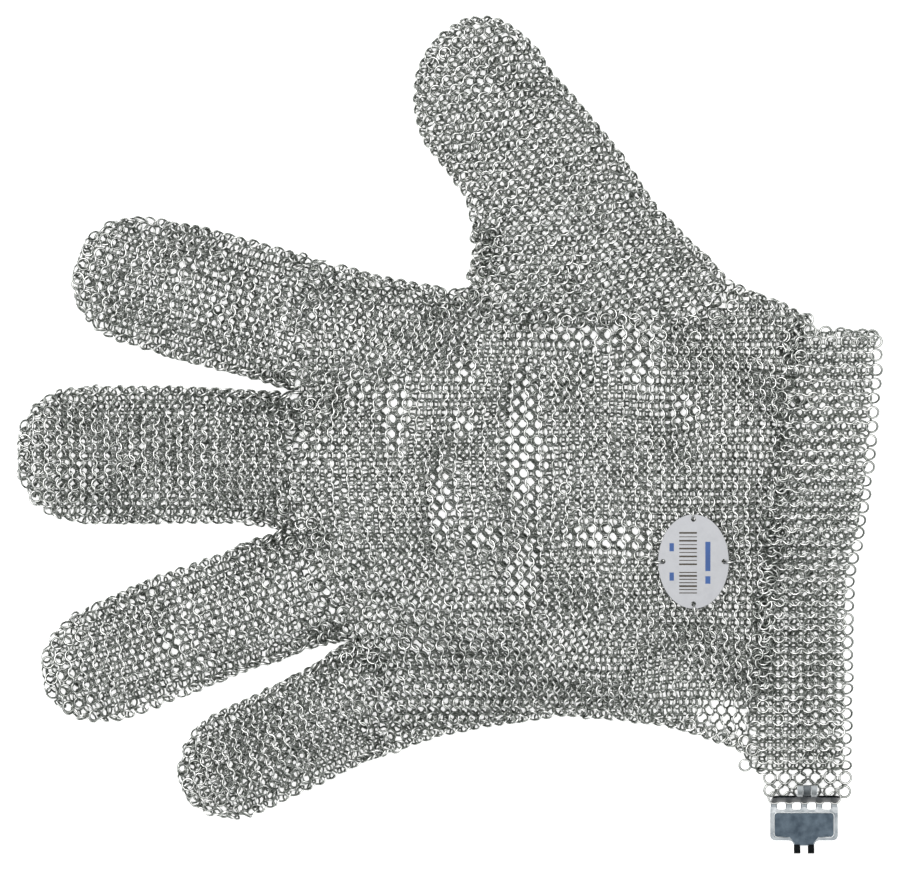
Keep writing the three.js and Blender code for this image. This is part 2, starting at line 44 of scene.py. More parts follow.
# Values to change: what every ring of the mesh is like. Millimetres and degrees.
ring = {
    "outerDiameter": 4.0,
    "wire": 0.56,
    "steps": 12,         # flats round the ring
    "sides": 4,          # flats round the wire, shaded smooth
    "lean": 26,          # how far a ring lies back on its row
    "tiltJitter": 5.5,
    "placeJitter": 0.12,
    "seamDisorder": 1.5,     # how much untidier rings are on a seam, fading over seamWidth
    "seamWidth": 3.5,
    "lowerDisorder": 1.8,    # how many times untidier the lower layer of fingers and thumb is
    "clearance": 0.085,      # over the table, as the corners between the flats stand out
    "crownPaintedHighlight": 0.77,       # painted highlight: tone of a wire's crown
    "heightPaintedLight": 0.15,          # painted light: how much lighter a point is that is 1 mm above the ring's middle, lower points painted darker
    "lowerPaintedShade": -0.1,       # painted shade: how much darker the lower layer is, lying under the upper one
    "toneJitter": 0.06,
}
ringPath = (ring["outerDiameter"] - ring["wire"]) / 2

# Values to change: how the sheet turns over at the glove's outline. The turn starts at `start` from the
# outline, its outermost middle line stands `least` inside it, and rings past `upTo` of a half turn
# belong to the lower layer. low is the height of that layer's middle, which keeps lowerFrom inside the
# outline, and upperDrop the way down from the top to the upper layer's middle. A finger's rows end at the
# share `first` of the turn. Border rings stand at the borderTurns, in degrees, and plain rows end
# borderFrom away from them.
fold = {"start": 3.0, "least": 0.75, "length": 5.3, "upTo": 0.78, "low": 1.25, "upperDrop": 1.15,
        "lowerFrom": 1.7, "first": 0.27, "borderTurns": (53, 127), "borderFrom": 2.7, "borderPitch": 3.6}

# Outline of each finger from the tip to the root: edge a towards the little finger, edge b towards the
# thumb. pitch is the distance between rows that lean the same way, count the rings from the middle of
# a row to its fold, round the power by which the tip closes, turn how many degrees the tip swings.
fingers = {
    "indexFinger": {
        "tip": (-109.9, 50.4), "turn": 4, "round": 0.84, "pitch": 3.65, "count": 4,
        "a": [(-95.6, 26.6), (-76.3, 20.9), (-61.6, 17.0), (-55.2, 14.6), (-42.0, 9.6)],
        "b": [(-82.6, 62.6), (-66.3, 59.2), (-51.6, 55.1), (-43.4, 52.6), (-34.0, 49.4)],
    },
    "middleFinger": {
        "tip": (-127.1, -6.0), "turn": 0, "round": 0.78, "pitch": 3.6, "count": 4.5,
        "a": [(-107.5, -26.2), (-91.0, -26.5), (-73.4, -26.2), (-53.8, -28.0), (-41.0, -28.4)],
        "b": [(-107.5, 13.8), (-91.0, 13.9), (-73.4, 13.6), (-55.2, 13.0), (-42.5, 12.2)],
    },
    "ringFinger": {
        "tip": (-119.6, -72.6), "turn": 3, "round": 0.88, "pitch": 3.7, "count": 3.5,
        "a": [(-94.0, -83.6), (-74.3, -75.9), (-55.4, -68.6), (-35.0, -63.2), (-22.8, -59.7)],
        "b": [(-100.0, -48.4), (-86.6, -42.2), (-67.5, -35.7), (-53.2, -29.4), (-41.0, -25.4)],
    },
    "littleFinger": {
        "tip": (-78.9, -104.0), "turn": 0, "round": 0.98, "pitch": 3.65, "count": 3.5,
        "a": [(-55.1, -111.2), (-39.3, -103.8), (-24.0, -96.4), (-17.6, -94.0), (-6.4, -88.6)],
        "b": [(-66.2, -80.9), (-52.8, -74.4), (-38.1, -66.2), (-33.6, -63.8), (-22.8, -58.4)],
    },
    "thumb": {
        "tip": (-0.6, 119.3), "turn": 5, "round": 0.93,
        "a": [(-7.6, 86.0), (-0.4, 76.7), (4.7, 69.4), (7.6, 57.4), (4.9, 43.7), (9.0, 33.6), (20.7, 24.0)],
        "b": [(28.9, 108.4), (37.3, 98.6), (46.6, 87.8), (53.7, 77.9), (61.6, 66.2), (73.4, 54.8),
              (84.0, 44.0)],
    },
}
# The slots between the fingers, from one finger round to the next
slots = {
    "indexMiddle": [(-61.6, 17.2), (-55.7, 15.7), (-49.9, 13.7), (-44.9, 11.8), (-49.9, 11.9), (-55.1, 12.5),
                    (-61.6, 12.9)],
    "middleRing": [(-61.6, -26.4), (-56.3, -26.9), (-52.8, -27.5), (-49.3, -28.6), (-52.8, -29.8),
                   (-56.3, -30.9), (-61.6, -32.7)],
    "ringLittle": [(-58.7, -69.4), (-49.4, -66.6), (-40.2, -62.9), (-33.0, -61.4), (-29.1, -61.0),
                   (-32.3, -62.9), (-40.2, -68.2), (-49.4, -73.1), (-58.7, -77.7)],
}
seams = {
    "knuckles": [(-43.0, 56.0), (-45.0, 11.8), (-49.4, -28.6), (-29.2, -61.0), (-14.0, -98.0)],
    "thumb": [(-20.0, 55.0), (1.0, 48.0), (4.0, 42.0), (9.0, 36.0), (16.0, 33.6), (73.7, 33.6),
              (79.0, 36.0), (85.5, 49.0)],
    "wrist": [(106.6, 37.0), (102.0, 27.5), (98.7, 18.7), (95.7, -4.9), (92.8, -37.2),
              (90.4, -63.7), (87.8, -96.0)],
}

# Where the mesh lies in one layer beside the wrist's slit, its rings leaning further
slit = {"middle": (80.5, -85.0), "half": (8.5, 7.0), "lean": 38}
# Rows of the thumb run straight at this angle, ending at right angles on its outer edge
thumbRows = {"angle": 40.0, "pitch": 3.55, "step": 4.7, "edge": 89.9, "from": -27.0, "to": 95.0,
             "least": -34.0}
# Rows of the hand run down it. Those nearest the fingers bend round: bendRadius, no steeper than
# steepest, about the line y = bendMiddle.
handRows = {"pitch": 4.06, "pitchAt": [50, 72], "pitches": [4.06, 3.55], "first": -66.0, "last": 110.0,
            "step": 4.41, "bendRadius": 112.0, "bendMiddle": -5.0, "steepest": 0.42, "bentFrom": -50.0,
            "straightFrom": 62.0, "split": 22.0}
# Rows of the cuff run across it, from the strap's end to the fold; the pitch changes on the way
cuff = {
    "outer": [(127.7, 28.4), (126.6, 9.9), (125.6, -1.9), (124.3, -13.7), (121.7, -31.3),
              (119.0, -41.6), (118.6, -63.7), (118.6, -99.0), (118.4, -106.0)],
    "inner": [(102.0, 31.0), (101.0, 18.7), (98.4, 5.4), (96.4, -7.8), (94.4, -25.4), (92.4, -43.0),
              (91.0, -59.3), (89.6, -75.4), (88.6, -90.0), (88.6, -95.0), (89.5, -98.6), (92.8, -99.8),
              (92.8, -106.5)],
    "pitchAt": [-107, -90, -76, -40, 0, 30],
    "pitches": [3.85, 3.9, 3.4, 3.6, 4.1, 4.2],
    "step": 4.44, "first": -105.2, "last": 29.0, "endInset": 2.0,
    "rearFirst": -98.5, "openBelow": -99.0, "openLeans": (-14, -62),
    "slitLoops": [(88.9, -90.3), (86.9, -100.0)],
    # middle height of the front layer
    "y": [-106.0, -100.5, -94.0, -80.0, -55.0, -10.0, 15.0, 25.0, 29.0, 31.0],
    "z": [2.1, 3.9, 5.2, 6.7, 7.6, 7.8, 7.3, 5.9, 4.3, 2.9],
}


# sRGB hex to linear colour: ((s + 0.055) / 1.055) ** 2.4, or s / 12.92 near black
def linear(hexColour):
    parts = [int(hexColour[i:i + 2], 16) / 255 for i in (1, 3, 5)]
    return [((s + 0.055) / 1.055) ** 2.4 if s > 0.04045 else s / 12.92 for s in parts] + [1.0]


def unit(v):
    return v / np.maximum(np.linalg.norm(v, axis=-1, keepdims=True), 1e-9)


# Flat directions turned a quarter to the right: (y, -x)
def rightOf(v):
    return np.stack([v[..., 1], -v[..., 0]], -1)


# Flat points or directions given a height
def lifted(flat, height=0.0):
    return np.concatenate([flat, np.broadcast_to(height, len(flat))[:, None]], -1)


# Adds one node, sets its properties and sockets, and links what it reads
def addNode(tree, kind, settings=None, **sockets):
    node = tree.nodes.new(kind)
    for name, value in (settings or {}).items():
        setattr(node, name, value)
    for name, value in sockets.items():
        socket = node.inputs[int(name[1:])] if name[1:].isdigit() else node.inputs[name.replace("_", " ")]
        if isinstance(value, bpy.types.NodeSocket):
            tree.links.new(value, socket)
        else:
            socket.default_value = value
    return node


def setRamp(ramp, colours):
    for position, _ in colours[1:-1]:
        ramp.elements.new(position)
    for element, (position, colour) in zip(ramp.elements, colours):
        element.position = position
        element.color = linear(colour)


# A material with an empty tree, and the Object coordinates that its patterns read
def newMaterial(name):
    material = bpy.data.materials.new(name)
    material.use_nodes = True
    tree = material.node_tree
    tree.nodes.clear()
    return material, tree, addNode(tree, "ShaderNodeTexCoord").outputs["Object"]


# Drawn stainless wire: the ring tone gives each wire a painted highlight on its crown and painted shade on
# its flanks, and patches of it, patchSize mm across, are a little cleaner than others
def wireWithPaintedShading(name, colours, roughness, patchSize=9, patches=0.2):
    material, tree, here = newMaterial(name)
    tone = addNode(tree, "ShaderNodeAttribute", {"attribute_name": "ringToneAndPaintedLight"})
    grime = addNode(tree, "ShaderNodeTexNoise", Vector=here, Scale=1 / (patchSize * mm), Detail=3.0)
    mixed = addNode(tree, "ShaderNodeMath", {"operation": "MULTIPLY_ADD"},
                    _0=grime.outputs["Fac"], _1=patches, _2=tone.outputs["Fac"])
    shade = addNode(tree, "ShaderNodeValToRGB", Fac=mixed.outputs[0])
    setRamp(shade.color_ramp, colours)
    steel = addNode(tree, "ShaderNodeBsdfPrincipled", Base_Color=shade.outputs["Color"], Metallic=1.0,
                    Roughness=roughness)
    addNode(tree, "ShaderNodeOutputMaterial", Surface=steel.outputs["BSDF"])
    return material


# Sheet metal or print: one colour, clouded by a soft noise, which also varies the gloss by a fifth
def plainFinish(name, lightHex, darkHex, roughness, metallic=1.0, cloud=6.0):
    material, tree, here = newMaterial(name)
    clouds = addNode(tree, "ShaderNodeTexNoise", Vector=here, Scale=1 / (cloud * mm), Detail=4.0)
    shade = addNode(tree, "ShaderNodeValToRGB", Fac=clouds.outputs["Fac"])
    setRamp(shade.color_ramp, [(0.3, darkHex), (0.7, lightHex)])
    gloss = addNode(tree, "ShaderNodeMapRange", Value=clouds.outputs["Fac"], To_Min=roughness * 0.8,
                    To_Max=roughness * 1.2)
    skin = addNode(tree, "ShaderNodeBsdfPrincipled", Base_Color=shade.outputs["Color"], Metallic=metallic,
                   Roughness=gloss.outputs["Result"])
    addNode(tree, "ShaderNodeOutputMaterial", Surface=skin.outputs["BSDF"])
    return material


# Makes a mesh a piece, shaded smooth apart from edges sharper than sharpAngle
def asPiece(name, data, material, sharpAngle=None):
    data.polygons.foreach_set("use_smooth", np.ones(len(data.polygons), dtype=bool))
    if sharpAngle:
        data.set_sharp_from_angle(angle=math.radians(sharpAngle))
    data.materials.clear()
    data.materials.append(material)
    data.name = name
    piece = bpy.data.objects.new(name, data)
    bpy.context.scene.collection.objects.link(piece)
    return piece


def putMesh(name, points, quads, material, sharpAngle=None):
    data = bpy.data.meshes.new(name)
    data.vertices.add(len(points))
    data.vertices.foreach_set("co", (points * mm).astype(np.float32).ravel())
    data.loops.add(quads.size)
    data.loops.foreach_set("vertex_index", quads.astype(np.int32).ravel())
    data.polygons.add(len(quads))
    data.polygons.foreach_set("loop_start", np.arange(0, quads.size, 4, dtype=np.int32))
    data.update(calc_edges=True)
    return asPiece(name, data, material, sharpAngle)


# Faces of a tube whose points come in rows of `sides`; a closed tube's last row joins its first
def tubeQuads(rows, sides, closed=False):
    i, j = np.meshgrid(np.arange(rows if closed else rows - 1), np.arange(sides), indexing="ij")
    nextI, nextJ = (i + 1) % rows, (j + 1) % sides
    corners = [i * sides + j, nextI * sides + j, nextI * sides + nextJ, i * sides + nextJ]
    return np.stack(corners, -1).reshape(-1, 4)


# Many rings as one mesh. A point of a ring is centre + (R + r cos b)(cos a U + sin a V) + r sin b N,
# where a runs round the ring and b round its wire. Its tone holds painted light: a painted highlight where
# the wire faces up or down and painted shade on the flanks, the flank's tone + (1 - that tone)
# |z of the outward direction| ** sharpness.
def ringPiece(name, rings, material, steps=ring["steps"], sides=ring["sides"], flankPaintedShade=0.25, sharpness=1.2):
    n = unit(rings["normal"])
    u = unit(rings["across"] - (rings["across"] * n).sum(-1, keepdims=True) * n)
    v = np.cross(n, u)
    a = 2 * np.pi * (np.arange(steps)[None, :] / steps + dice.random((len(n), 1)))
    b = 2 * np.pi * np.arange(sides) / sides
    bigRadius = ringPath / math.cos(math.pi / steps) ** 0.5
    smallRadius = ring["wire"] / 2 / math.cos(math.pi / sides) ** 0.5
    radial = u[:, None] * np.cos(a)[..., None] + v[:, None] * np.sin(a)[..., None]
    outward = (radial[:, :, None] * np.cos(b)[None, None, :, None]
               + n[:, None, None] * np.sin(b)[None, None, :, None])
    points = rings["centre"][:, None, None] + radial[:, :, None] * bigRadius + outward * smallRadius
    quads = tubeQuads(steps, sides, closed=True) + (np.arange(len(n)) * steps * sides)[:, None, None]
    piece = putMesh(name, points.reshape(-1, 3), quads.reshape(-1, 4), material)
    # painted highlight on the crown and painted shade on the flanks, by which way each point of the wire
    # faces
    crownPaintedLight = flankPaintedShade + (1 - flankPaintedShade) * np.abs(outward[..., 2]) ** sharpness
    # painted light by height: points above the ring's middle are painted lighter, points below it darker as
    # if shaded
    above = points[..., 2] - rings["centre"][:, 2, None, None]
    toneAndPaintedLight = crownPaintedLight * ring["crownPaintedHighlight"] + above * ring["heightPaintedLight"] + rings["tone"][:, None, None]
    shades = piece.data.attributes.new("ringToneAndPaintedLight", "FLOAT", "POINT")
    shades.data.foreach_set("value", toneAndPaintedLight.astype(np.float32).ravel())
    return piece


# Smooth random swell: a sum of plane waves, mostly within -1 to 1, with the given wavelength in mm
def swell(x, y, length, seed, waves=7):
    draw = np.random.default_rng(seed)
    total = np.zeros_like(x)
    for angle, phase, stretch in zip(draw.uniform(0, 2 * np.pi, waves), draw.uniform(0, 2 * np.pi, waves),
                                     draw.uniform(0.7, 1.5, waves)):
        k = 2 * np.pi / (length * stretch)
        total += np.cos(k * (x * np.cos(angle) + y * np.sin(angle)) + phase)
    return total / waves ** 0.5


# Edges of a finger from its tip to its root. Near the tip they close in a quarter turn:
# the middle runs to the tip with sin(angle) while the breadth falls with cos(angle) ** round.
def fingerEdges(shape, tipSteps=14):
    a, b = np.array(shape["a"]), np.array(shape["b"])
    middle, half = (a[0] + b[0]) / 2, (b[0] - a[0]) / 2
    angle = np.radians(np.linspace(89, 0, tipSteps, endpoint=False))
    reach, breadth = np.sin(angle), np.cos(angle) ** shape["round"]
    turn = np.radians(shape["turn"]) * reach
    centre = middle + (np.array(shape["tip"]) - middle) * reach[:, None]
    side = np.stack([half[0] * np.cos(turn) - half[1] * np.sin(turn),
                     half[0] * np.sin(turn) + half[1] * np.cos(turn)], -1) * breadth[:, None]
    return np.vstack([centre - side, a]), np.vstack([centre + side, b])


# Nearest place to each point on a line of straight stretches, and how far off it is
def nearestOn(points, line):
    line = np.array(line)
    p, q = line[:-1], line[1:]
    nearest = np.zeros_like(points)
    for start in range(0, len(points), 2000):
        part = points[start:start + 2000, None]
        share = ((part - p) * (q - p)).sum(-1) / np.maximum(((q - p) ** 2).sum(-1), 1e-9)
        foot = p + np.clip(share, 0, 1)[..., None] * (q - p)
        best = ((part - foot) ** 2).sum(-1).argmin(1)
        nearest[start:start + 2000] = foot[np.arange(len(best)), best]
    return nearest, np.linalg.norm(points - nearest, axis=1)


# True where a point lies inside a closed outline: a ray to +X crosses it an odd number of times
def inside(points, outline):
    x, y = points[:, 0:1], points[:, 1:2]
    px, py = np.array(outline).T
    qx, qy = np.roll(px, -1), np.roll(py, -1)
    crosses = ((py > y) != (qy > y)) & (x < (qx - px) * (y - py) / np.where(qy == py, 1e-9, qy - py) + px)
    return crosses.sum(1) % 2 == 1


# True inside the slit's ellipse
def inSlit(points):
    return (((points - slit["middle"]) / slit["half"]) ** 2).sum(1) < 1


def smoothStep(value, low, high):
    s = np.clip((value - low) / (high - low), 0, 1)
    return s * s * (3 - 2 * s)


# Distance travelled at each corner of a line of straight stretches
def travelled(line):
    return np.concatenate([[0], np.cumsum(np.linalg.norm(np.diff(line, axis=0), axis=1))])


# Points of a line at given distances along it, where `corners` are the distances of its own points
def pointsAt(distances, corners, line):
    return np.stack([np.interp(distances, corners, line[:, i]) for i in (0, 1)], -1)


edges = {name: fingerEdges(shape) for name, shape in fingers.items()}


def aroundFinger(name, rootA, rootB):
    a, b = edges[name]
    return np.vstack([b[:len(b) - rootB][::-1], a[:len(a) - rootA]])


# The glove's outline from the wrist's thumb side, round all fingers, to the wrist's other side
heel = [(106.0, 34.6), (96.2, 39.6)]
crotch = [(-2.8, 43.1), (-17.8, 46.0), (-33.7, 50.2)]
ulnar = [(-2.8, -89.1), (14.9, -85.8), (32.5, -83.2), (50.1, -84.4), (67.8, -87.0), (84.0, -92.6),
         (88.0, -96.0)]
outline = np.vstack([heel, aroundFinger("thumb", 2, 0), crotch,
                     aroundFinger("indexFinger", 3, 2), slots["indexMiddle"],
                     aroundFinger("middleFinger", 2, 2), slots["middleRing"],
                     aroundFinger("ringFinger", 3, 2), slots["ringLittle"],
                     aroundFinger("littleFinger", 1, 4), ulnar])
closedOutline = np.vstack([outline, [(114.0, -96.0), (114.0, 34.0)]])


# Top of the mesh: edge + (rise - edge)(1 - exp(-d / reach)), where d is the distance to the outline
def topHeight(points):
    x, y = points[:, 0], points[:, 1]
    d = nearestOn(points, outline)[1]
    rise = np.interp(x, [-130, -95, -50, -10, 30, 60, 110], [8.2, 8.4, 9.4, 10.5, 10.4, 9.7, 8.7])
    thumbness = smoothStep(y, 40, 70) * smoothStep(x, -30, -12)
    rise = rise + (np.interp(y, [40, 90, 125], [10.2, 9.0, 8.2]) - rise) * thumbness
    reach = 5.5 + 5.0 * smoothStep(x, -60, -15) * (1 - thumbness)
    return 2.2 + (rise - 2.2) * (1 - np.exp(-d / reach)) + 0.25 * swell(x, y, 34, 5) * smoothStep(d, 3, 12)


def upperHeight(points):
    return topHeight(points) - fold["upperDrop"]


def lowerHeight(points):
    return np.full(len(points), fold["low"])


def cuffHeight(points):
    return np.interp(points[:, 1], cuff["y"], cuff["z"])


def chosen(laid, mask):
    return {key: value[mask] for key, value in laid.items()}


def joined(*many):
    return {key: np.concatenate([rings[key] for rings in many]) for key in many[0]}


# Rings laid flat: places, the direction of their row, and 1 on odd rows
def asLaid(points, directions, parity):
    return {"xy": points.reshape(-1, 2),
            "across": unit(np.broadcast_to(directions, points.shape).reshape(-1, 2)),
            "odd": np.broadcast_to(parity, points.shape[:2]).ravel()}


# Rows across a finger. A row's half length up to the fold holds `count` steps, so that the rings
# stand alike all the way along the fold.
def layFinger(shape):
    a, b = np.array(shape["a"]), np.array(shape["b"])
    middle, half = (a + b) / 2, (b - a) / 2
    ahead = np.array(shape["tip"]) - middle[0]
    beyond = middle[0] + ahead * (1 + 5 / np.linalg.norm(ahead))
    middle, half = np.vstack([beyond, middle]), np.vstack([half[:1], half])
    corners = travelled(middle)
    rows = np.arange(0, corners[-1], shape["pitch"] / 2)
    centre, side = pointsAt(rows, corners, middle), pointsAt(rows, corners, half)
    step = (np.linalg.norm(side, axis=1) - fold["start"] + fold["length"] * fold["first"]) / shape["count"]
    parity = (np.arange(len(rows)) % 2)[:, None]
    reach = int(shape["count"]) + 2
    along = (np.arange(-reach, reach + 1)[None, :] + 0.5 * parity) * step[:, None]
    direction = unit(side)[:, None]
    return asLaid(centre[:, None] + direction * along[..., None], direction, parity)


def layThumb():
    angle = math.radians(thumbRows["angle"])
    direction = np.array([math.cos(angle), math.sin(angle)])
    sideways = np.array([-direction[1], direction[0]])
    rows = np.arange(thumbRows["from"], thumbRows["to"], thumbRows["pitch"] / 2)
    parity = (np.arange(len(rows)) % 2)[:, None]
    count = int((thumbRows["edge"] - thumbRows["least"]) / thumbRows["step"])
    along = thumbRows["edge"] - (np.arange(-1, count)[None, :] + 0.5 * parity) * thumbRows["step"]
    points = along[..., None] * direction + rows[:, None, None] * sideways
    return asLaid(points, direction, parity)


# Places of rows whose pitch changes on the way: each is half the local pitch past the one before
def rowPlaces(rows):
    places = [rows["first"]]
    while places[-1] < rows["last"]:
        places.append(places[-1] + np.interp(places[-1], rows["pitchAt"], rows["pitches"]) / 2)
    return np.array(places)


# Rows down the hand. A row moves aside by share * R (y - middle)^2 / 2 R^2 near the middle and
# goes on straight once it is as steep as it may be.
def layHand():
    rows = rowPlaces(handRows)
    parity = (np.arange(len(rows)) % 2)[:, None]
    y = (np.arange(-26, 16)[None, :] + 0.5 * parity) * handRows["step"]
    share = 1 - smoothStep(rows, handRows["bentFrom"], handRows["straightFrom"])[:, None]
    radius = handRows["bendRadius"]
    lift = y - handRows["bendMiddle"]
    near = np.clip(np.abs(lift), 0, handRows["steepest"] * radius)
    aside = near ** 2 / (2 * radius) + handRows["steepest"] * (np.abs(lift) - near)
    slope = np.sign(lift) * near / radius * share
    points = np.stack([rows[:, None] + share * aside, y], -1)
    return asLaid(points, np.stack([slope, np.ones_like(slope)], -1), parity)


# Rows across the cuff, all starting at its outer edge
def layCuff(rear=False):
    inset = cuff["step"] / 2 if rear else 0.0
    y = rowPlaces(cuff)
    parity = (np.arange(len(y)) % 2)[:, None]
    outer, inner = np.array(cuff["outer"])[::-1], np.array(cuff["inner"])[::-1]
    ends = np.interp(y, outer[:, 1], outer[:, 0])[:, None] - cuff["endInset"] - inset
    x = ends - (np.arange(0, 10)[None, :] + 0.5 * parity) * cuff["step"]
    laid = asLaid(np.stack([x, np.broadcast_to(y[:, None], x.shape)], -1), np.array([1.0, 0.0]), parity)
    keep = laid["xy"][:, 0] > np.interp(laid["xy"][:, 1], inner[:, 1], inner[:, 0])
    return chosen(laid, keep & ((laid["xy"][:, 1] > cuff["rearFirst"]) | (not rear)))


# Where the openings of both layers stand over each other: middle x, y, half length, half height and
# how fully they do
openFields = [(20.7, -3, 5.5, 24, 1.0), (20.7, -42, 6.5, 12, 1.0), (45, -30.5, 14, 4, 0.88),
              (56, 19.5, 5.5, 5.5, 0.88), (68, 7, 5.5, 6, 0.85), (44, 29.5, 22, 4, 0.75),
              (3, 19, 5, 5, 0.88), (2, 2.5, 5, 5, 0.88), (-4, -20, 4.5, 13, 0.88), (9, -31, 8, 4, 0.88),
              (-29, 14, 5, 7, 0.8),
              (-18, 6, 5, 12, 0.8), (-9, -61, 6, 8, 0.85), (5, -61, 5, 6, 0.85), (83, -88, 8, 7, 1.0),
              (-83, -61, 6, 5, 0.85), (-78, 50, 7, 4, 0.7), (-90, -2, 6, 5, 0.7), (9, 104, 6, 5, 0.7)]


# Drift of the lower layer against the upper one, as a share of the ring spacing. Half a pitch along
# closes the openings; it wanders a little from there, less near the wrist, and open fields undo it.
def lowerDrift(points):
    x, y = points[:, 0], points[:, 1]
    together = np.zeros_like(x)
    for middleX, middleY, halfX, halfY, fully in openFields:
        far = ((x - middleX) / halfX) ** 2 + ((y - middleY) / halfY) ** 2
        together = np.maximum(together, fully * np.exp(-0.6 * far ** 2))
    apart = 1 - 0.93 * together
    calm = 1 - 0.8 * smoothStep(x, 40, 70)
    along = (0.5 + 0.07 * calm * swell(x, y, 38, 21)) * apart
    across = 0.05 * calm * swell(x, y, 42, 22) * apart + 0.09 * together
    return along, across, together


# Where the layers open together, the lower one is also spread a little, as it looks smaller from above
def drifted(laid, pitch, step):
    along, across, together = lowerDrift(laid["xy"])
    spread, direction = 0.0054, laid["across"]
    moved = (laid["xy"] * (1 + spread * together[:, None]) + rightOf(direction) * (along * pitch)[:, None]
             + direction * (across * step)[:, None])
    return {**laid, "xy": moved}


# Slow wandering of the rows, less at the outline
def warped(laid, amount):
    x, y = laid["xy"].T
    calm = (smoothStep(nearestOn(laid["xy"], outline)[1], 3.0, 12.0) * amount)[:, None]
    return {**laid, "xy": laid["xy"] + np.stack([swell(x, y, 36, 31), swell(x, y, 36, 32)], -1) * calm}


# Turns upright vectors so that up leans by `angle` towards `direction`, about the level axis k:
# v cos + (k x v) sin + k (k . v)(1 - cos)
def tipped(v, direction, angle):
    k = lifted(-rightOf(direction))
    c, s = np.cos(angle)[:, None], np.sin(angle)[:, None]
    return v * c + np.cross(k, v) * s + k * (k * v).sum(-1, keepdims=True) * (1 - c)


# How untidy the rings are: 1 + seamDisorder exp(-(distance to a seam / seamWidth)^2)
def untidiness(points):
    nearest = np.minimum(nearestOn(points, seams["knuckles"])[1], nearestOn(points, seams["thumb"])[1])
    return 1 + ring["seamDisorder"] * np.exp(-(nearest / ring["seamWidth"]) ** 2)


# A ring no lower than the table: its half height is R sin(tilt) + r, and a little for its flats
def restOnTable(centre, normal):
    rise = ringPath * np.sqrt(np.clip(1 - unit(normal)[:, 2] ** 2, 0, 1))
    centre[:, 2] = np.maximum(centre[:, 2], rise + ring["wire"] / 2 + ring["clearance"])
    return centre


# Turns laid rows into rings: the row's lean and a little disorder, tipped to the surface's slope.
# With folds, a ring past fold start is carried round the edge: with the turn from 0 to pi, it stands
# least + (start - least)(1 - sin turn) inside the outline, at the height that the cosine gives.
def makeRings(laid, heightOf, folds=False, lean=None, disorder=1.0):
    xy, nudge = laid["xy"].copy(), 0.4
    count = len(xy)
    turn, outward = np.zeros(count), np.zeros((count, 2))
    keep = np.ones(count, dtype=bool)
    if folds:
        nearest, distance = nearestOn(xy, outline)
        side = np.where(inside(xy, closedOutline), 1.0, -1.0)
        outward = unit((nearest - xy) * side[:, None])
        past = fold["start"] - distance * side
        turn = np.pi * np.clip(past / fold["length"], 0, 1)
        keep = turn < np.pi * fold["upTo"]
        xy = np.where((past > 0)[:, None], nearest - outward * fold["start"], xy)
    z = heightOf(xy)
    slope = np.stack([(heightOf(xy + step) - heightOf(xy - step)) / (2 * nudge)
                      for step in (np.array([nudge, 0]), np.array([0, nudge]))], -1)
    angle = np.arctan(np.linalg.norm(slope, axis=1))
    direction = np.where((turn > 0)[:, None], outward, unit(-slope))
    angle = np.maximum(angle, turn)
    z = fold["low"] + (z - fold["low"]) * (1 + np.cos(turn)) / 2
    xy = xy + outward * ((fold["start"] - fold["least"]) * np.sin(turn))[:, None]

    across, along = lifted(laid["across"]), lifted(rightOf(laid["across"]))
    mess = untidiness(xy) * disorder
    if lean is None:
        lean = np.where(laid["odd"] == 0, 1, -1) * np.where(inSlit(xy), slit["lean"], ring["lean"])
    swing = np.radians(lean + dice.normal(0, ring["tiltJitter"], count) * mess)
    rock = np.radians(dice.normal(0, ring["tiltJitter"], count) * mess)
    normal = (np.array([0, 0, 1.0]) * np.cos(swing)[:, None] + along * np.sin(swing)[:, None]
              + across * np.sin(rock)[:, None])
    normal, across = tipped(normal, direction, angle), tipped(across, direction, angle)
    centre = lifted(xy, z) + dice.normal(0, ring["placeJitter"], (count, 3)) * mess[:, None]
    rings = {"centre": restOnTable(centre, normal), "normal": normal, "across": across,
             "tone": dice.normal(0.0, ring["toneJitter"], count)}
    return chosen(rings, keep)


def lengthOf(line):
    return np.linalg.norm(np.diff(np.array(line, dtype=float), axis=0), axis=1).sum()


# Points at given distances along a line of straight stretches, and the line's direction there
def walkLine(line, places, reach=1.2):
    line = np.array(line, dtype=float)
    behind, here, ahead = [pointsAt(places + shift, travelled(line), line) for shift in (-reach, 0, reach)]
    return here, unit(ahead - behind)


# Rings along a folded edge: every other one is a little above the fold, and the rest a little below it
def borderRows(line):
    places = np.arange(0, lengthOf(line), fold["borderPitch"] / 2)
    here, tangent = walkLine(line, places)
    outward = rightOf(tangent)
    odd = np.arange(len(places)) % 2
    depth = fold["start"] - fold["length"] * np.where(odd == 0, *fold["borderTurns"]) / 180
    return {"xy": here - outward * depth[:, None], "across": outward, "odd": odd}


# Rings that lie nearly flat along an open edge, one every `spacing`
def edgeRings(line, spacing, inset, tilt, heightOf):
    places = np.arange(spacing / 2, lengthOf(line), spacing)
    here, tangent = walkLine(line, places)
    inward, count = rightOf(tangent), len(places)
    xy = here + inward * (inset + dice.normal(0, 0.25, count))[:, None]
    along, side = lifted(tangent), lifted(inward)
    swing, rock = np.radians(dice.normal(tilt, 6, count)), np.radians(dice.normal(0, 9, count))
    normal = np.array([0, 0, 1.0]) + along * np.tan(swing)[:, None] + side * np.sin(rock)[:, None]
    return {"centre": restOnTable(lifted(xy, heightOf(xy)), normal), "normal": normal, "across": along,
            "tone": dice.normal(0.05, 0.05, count)}


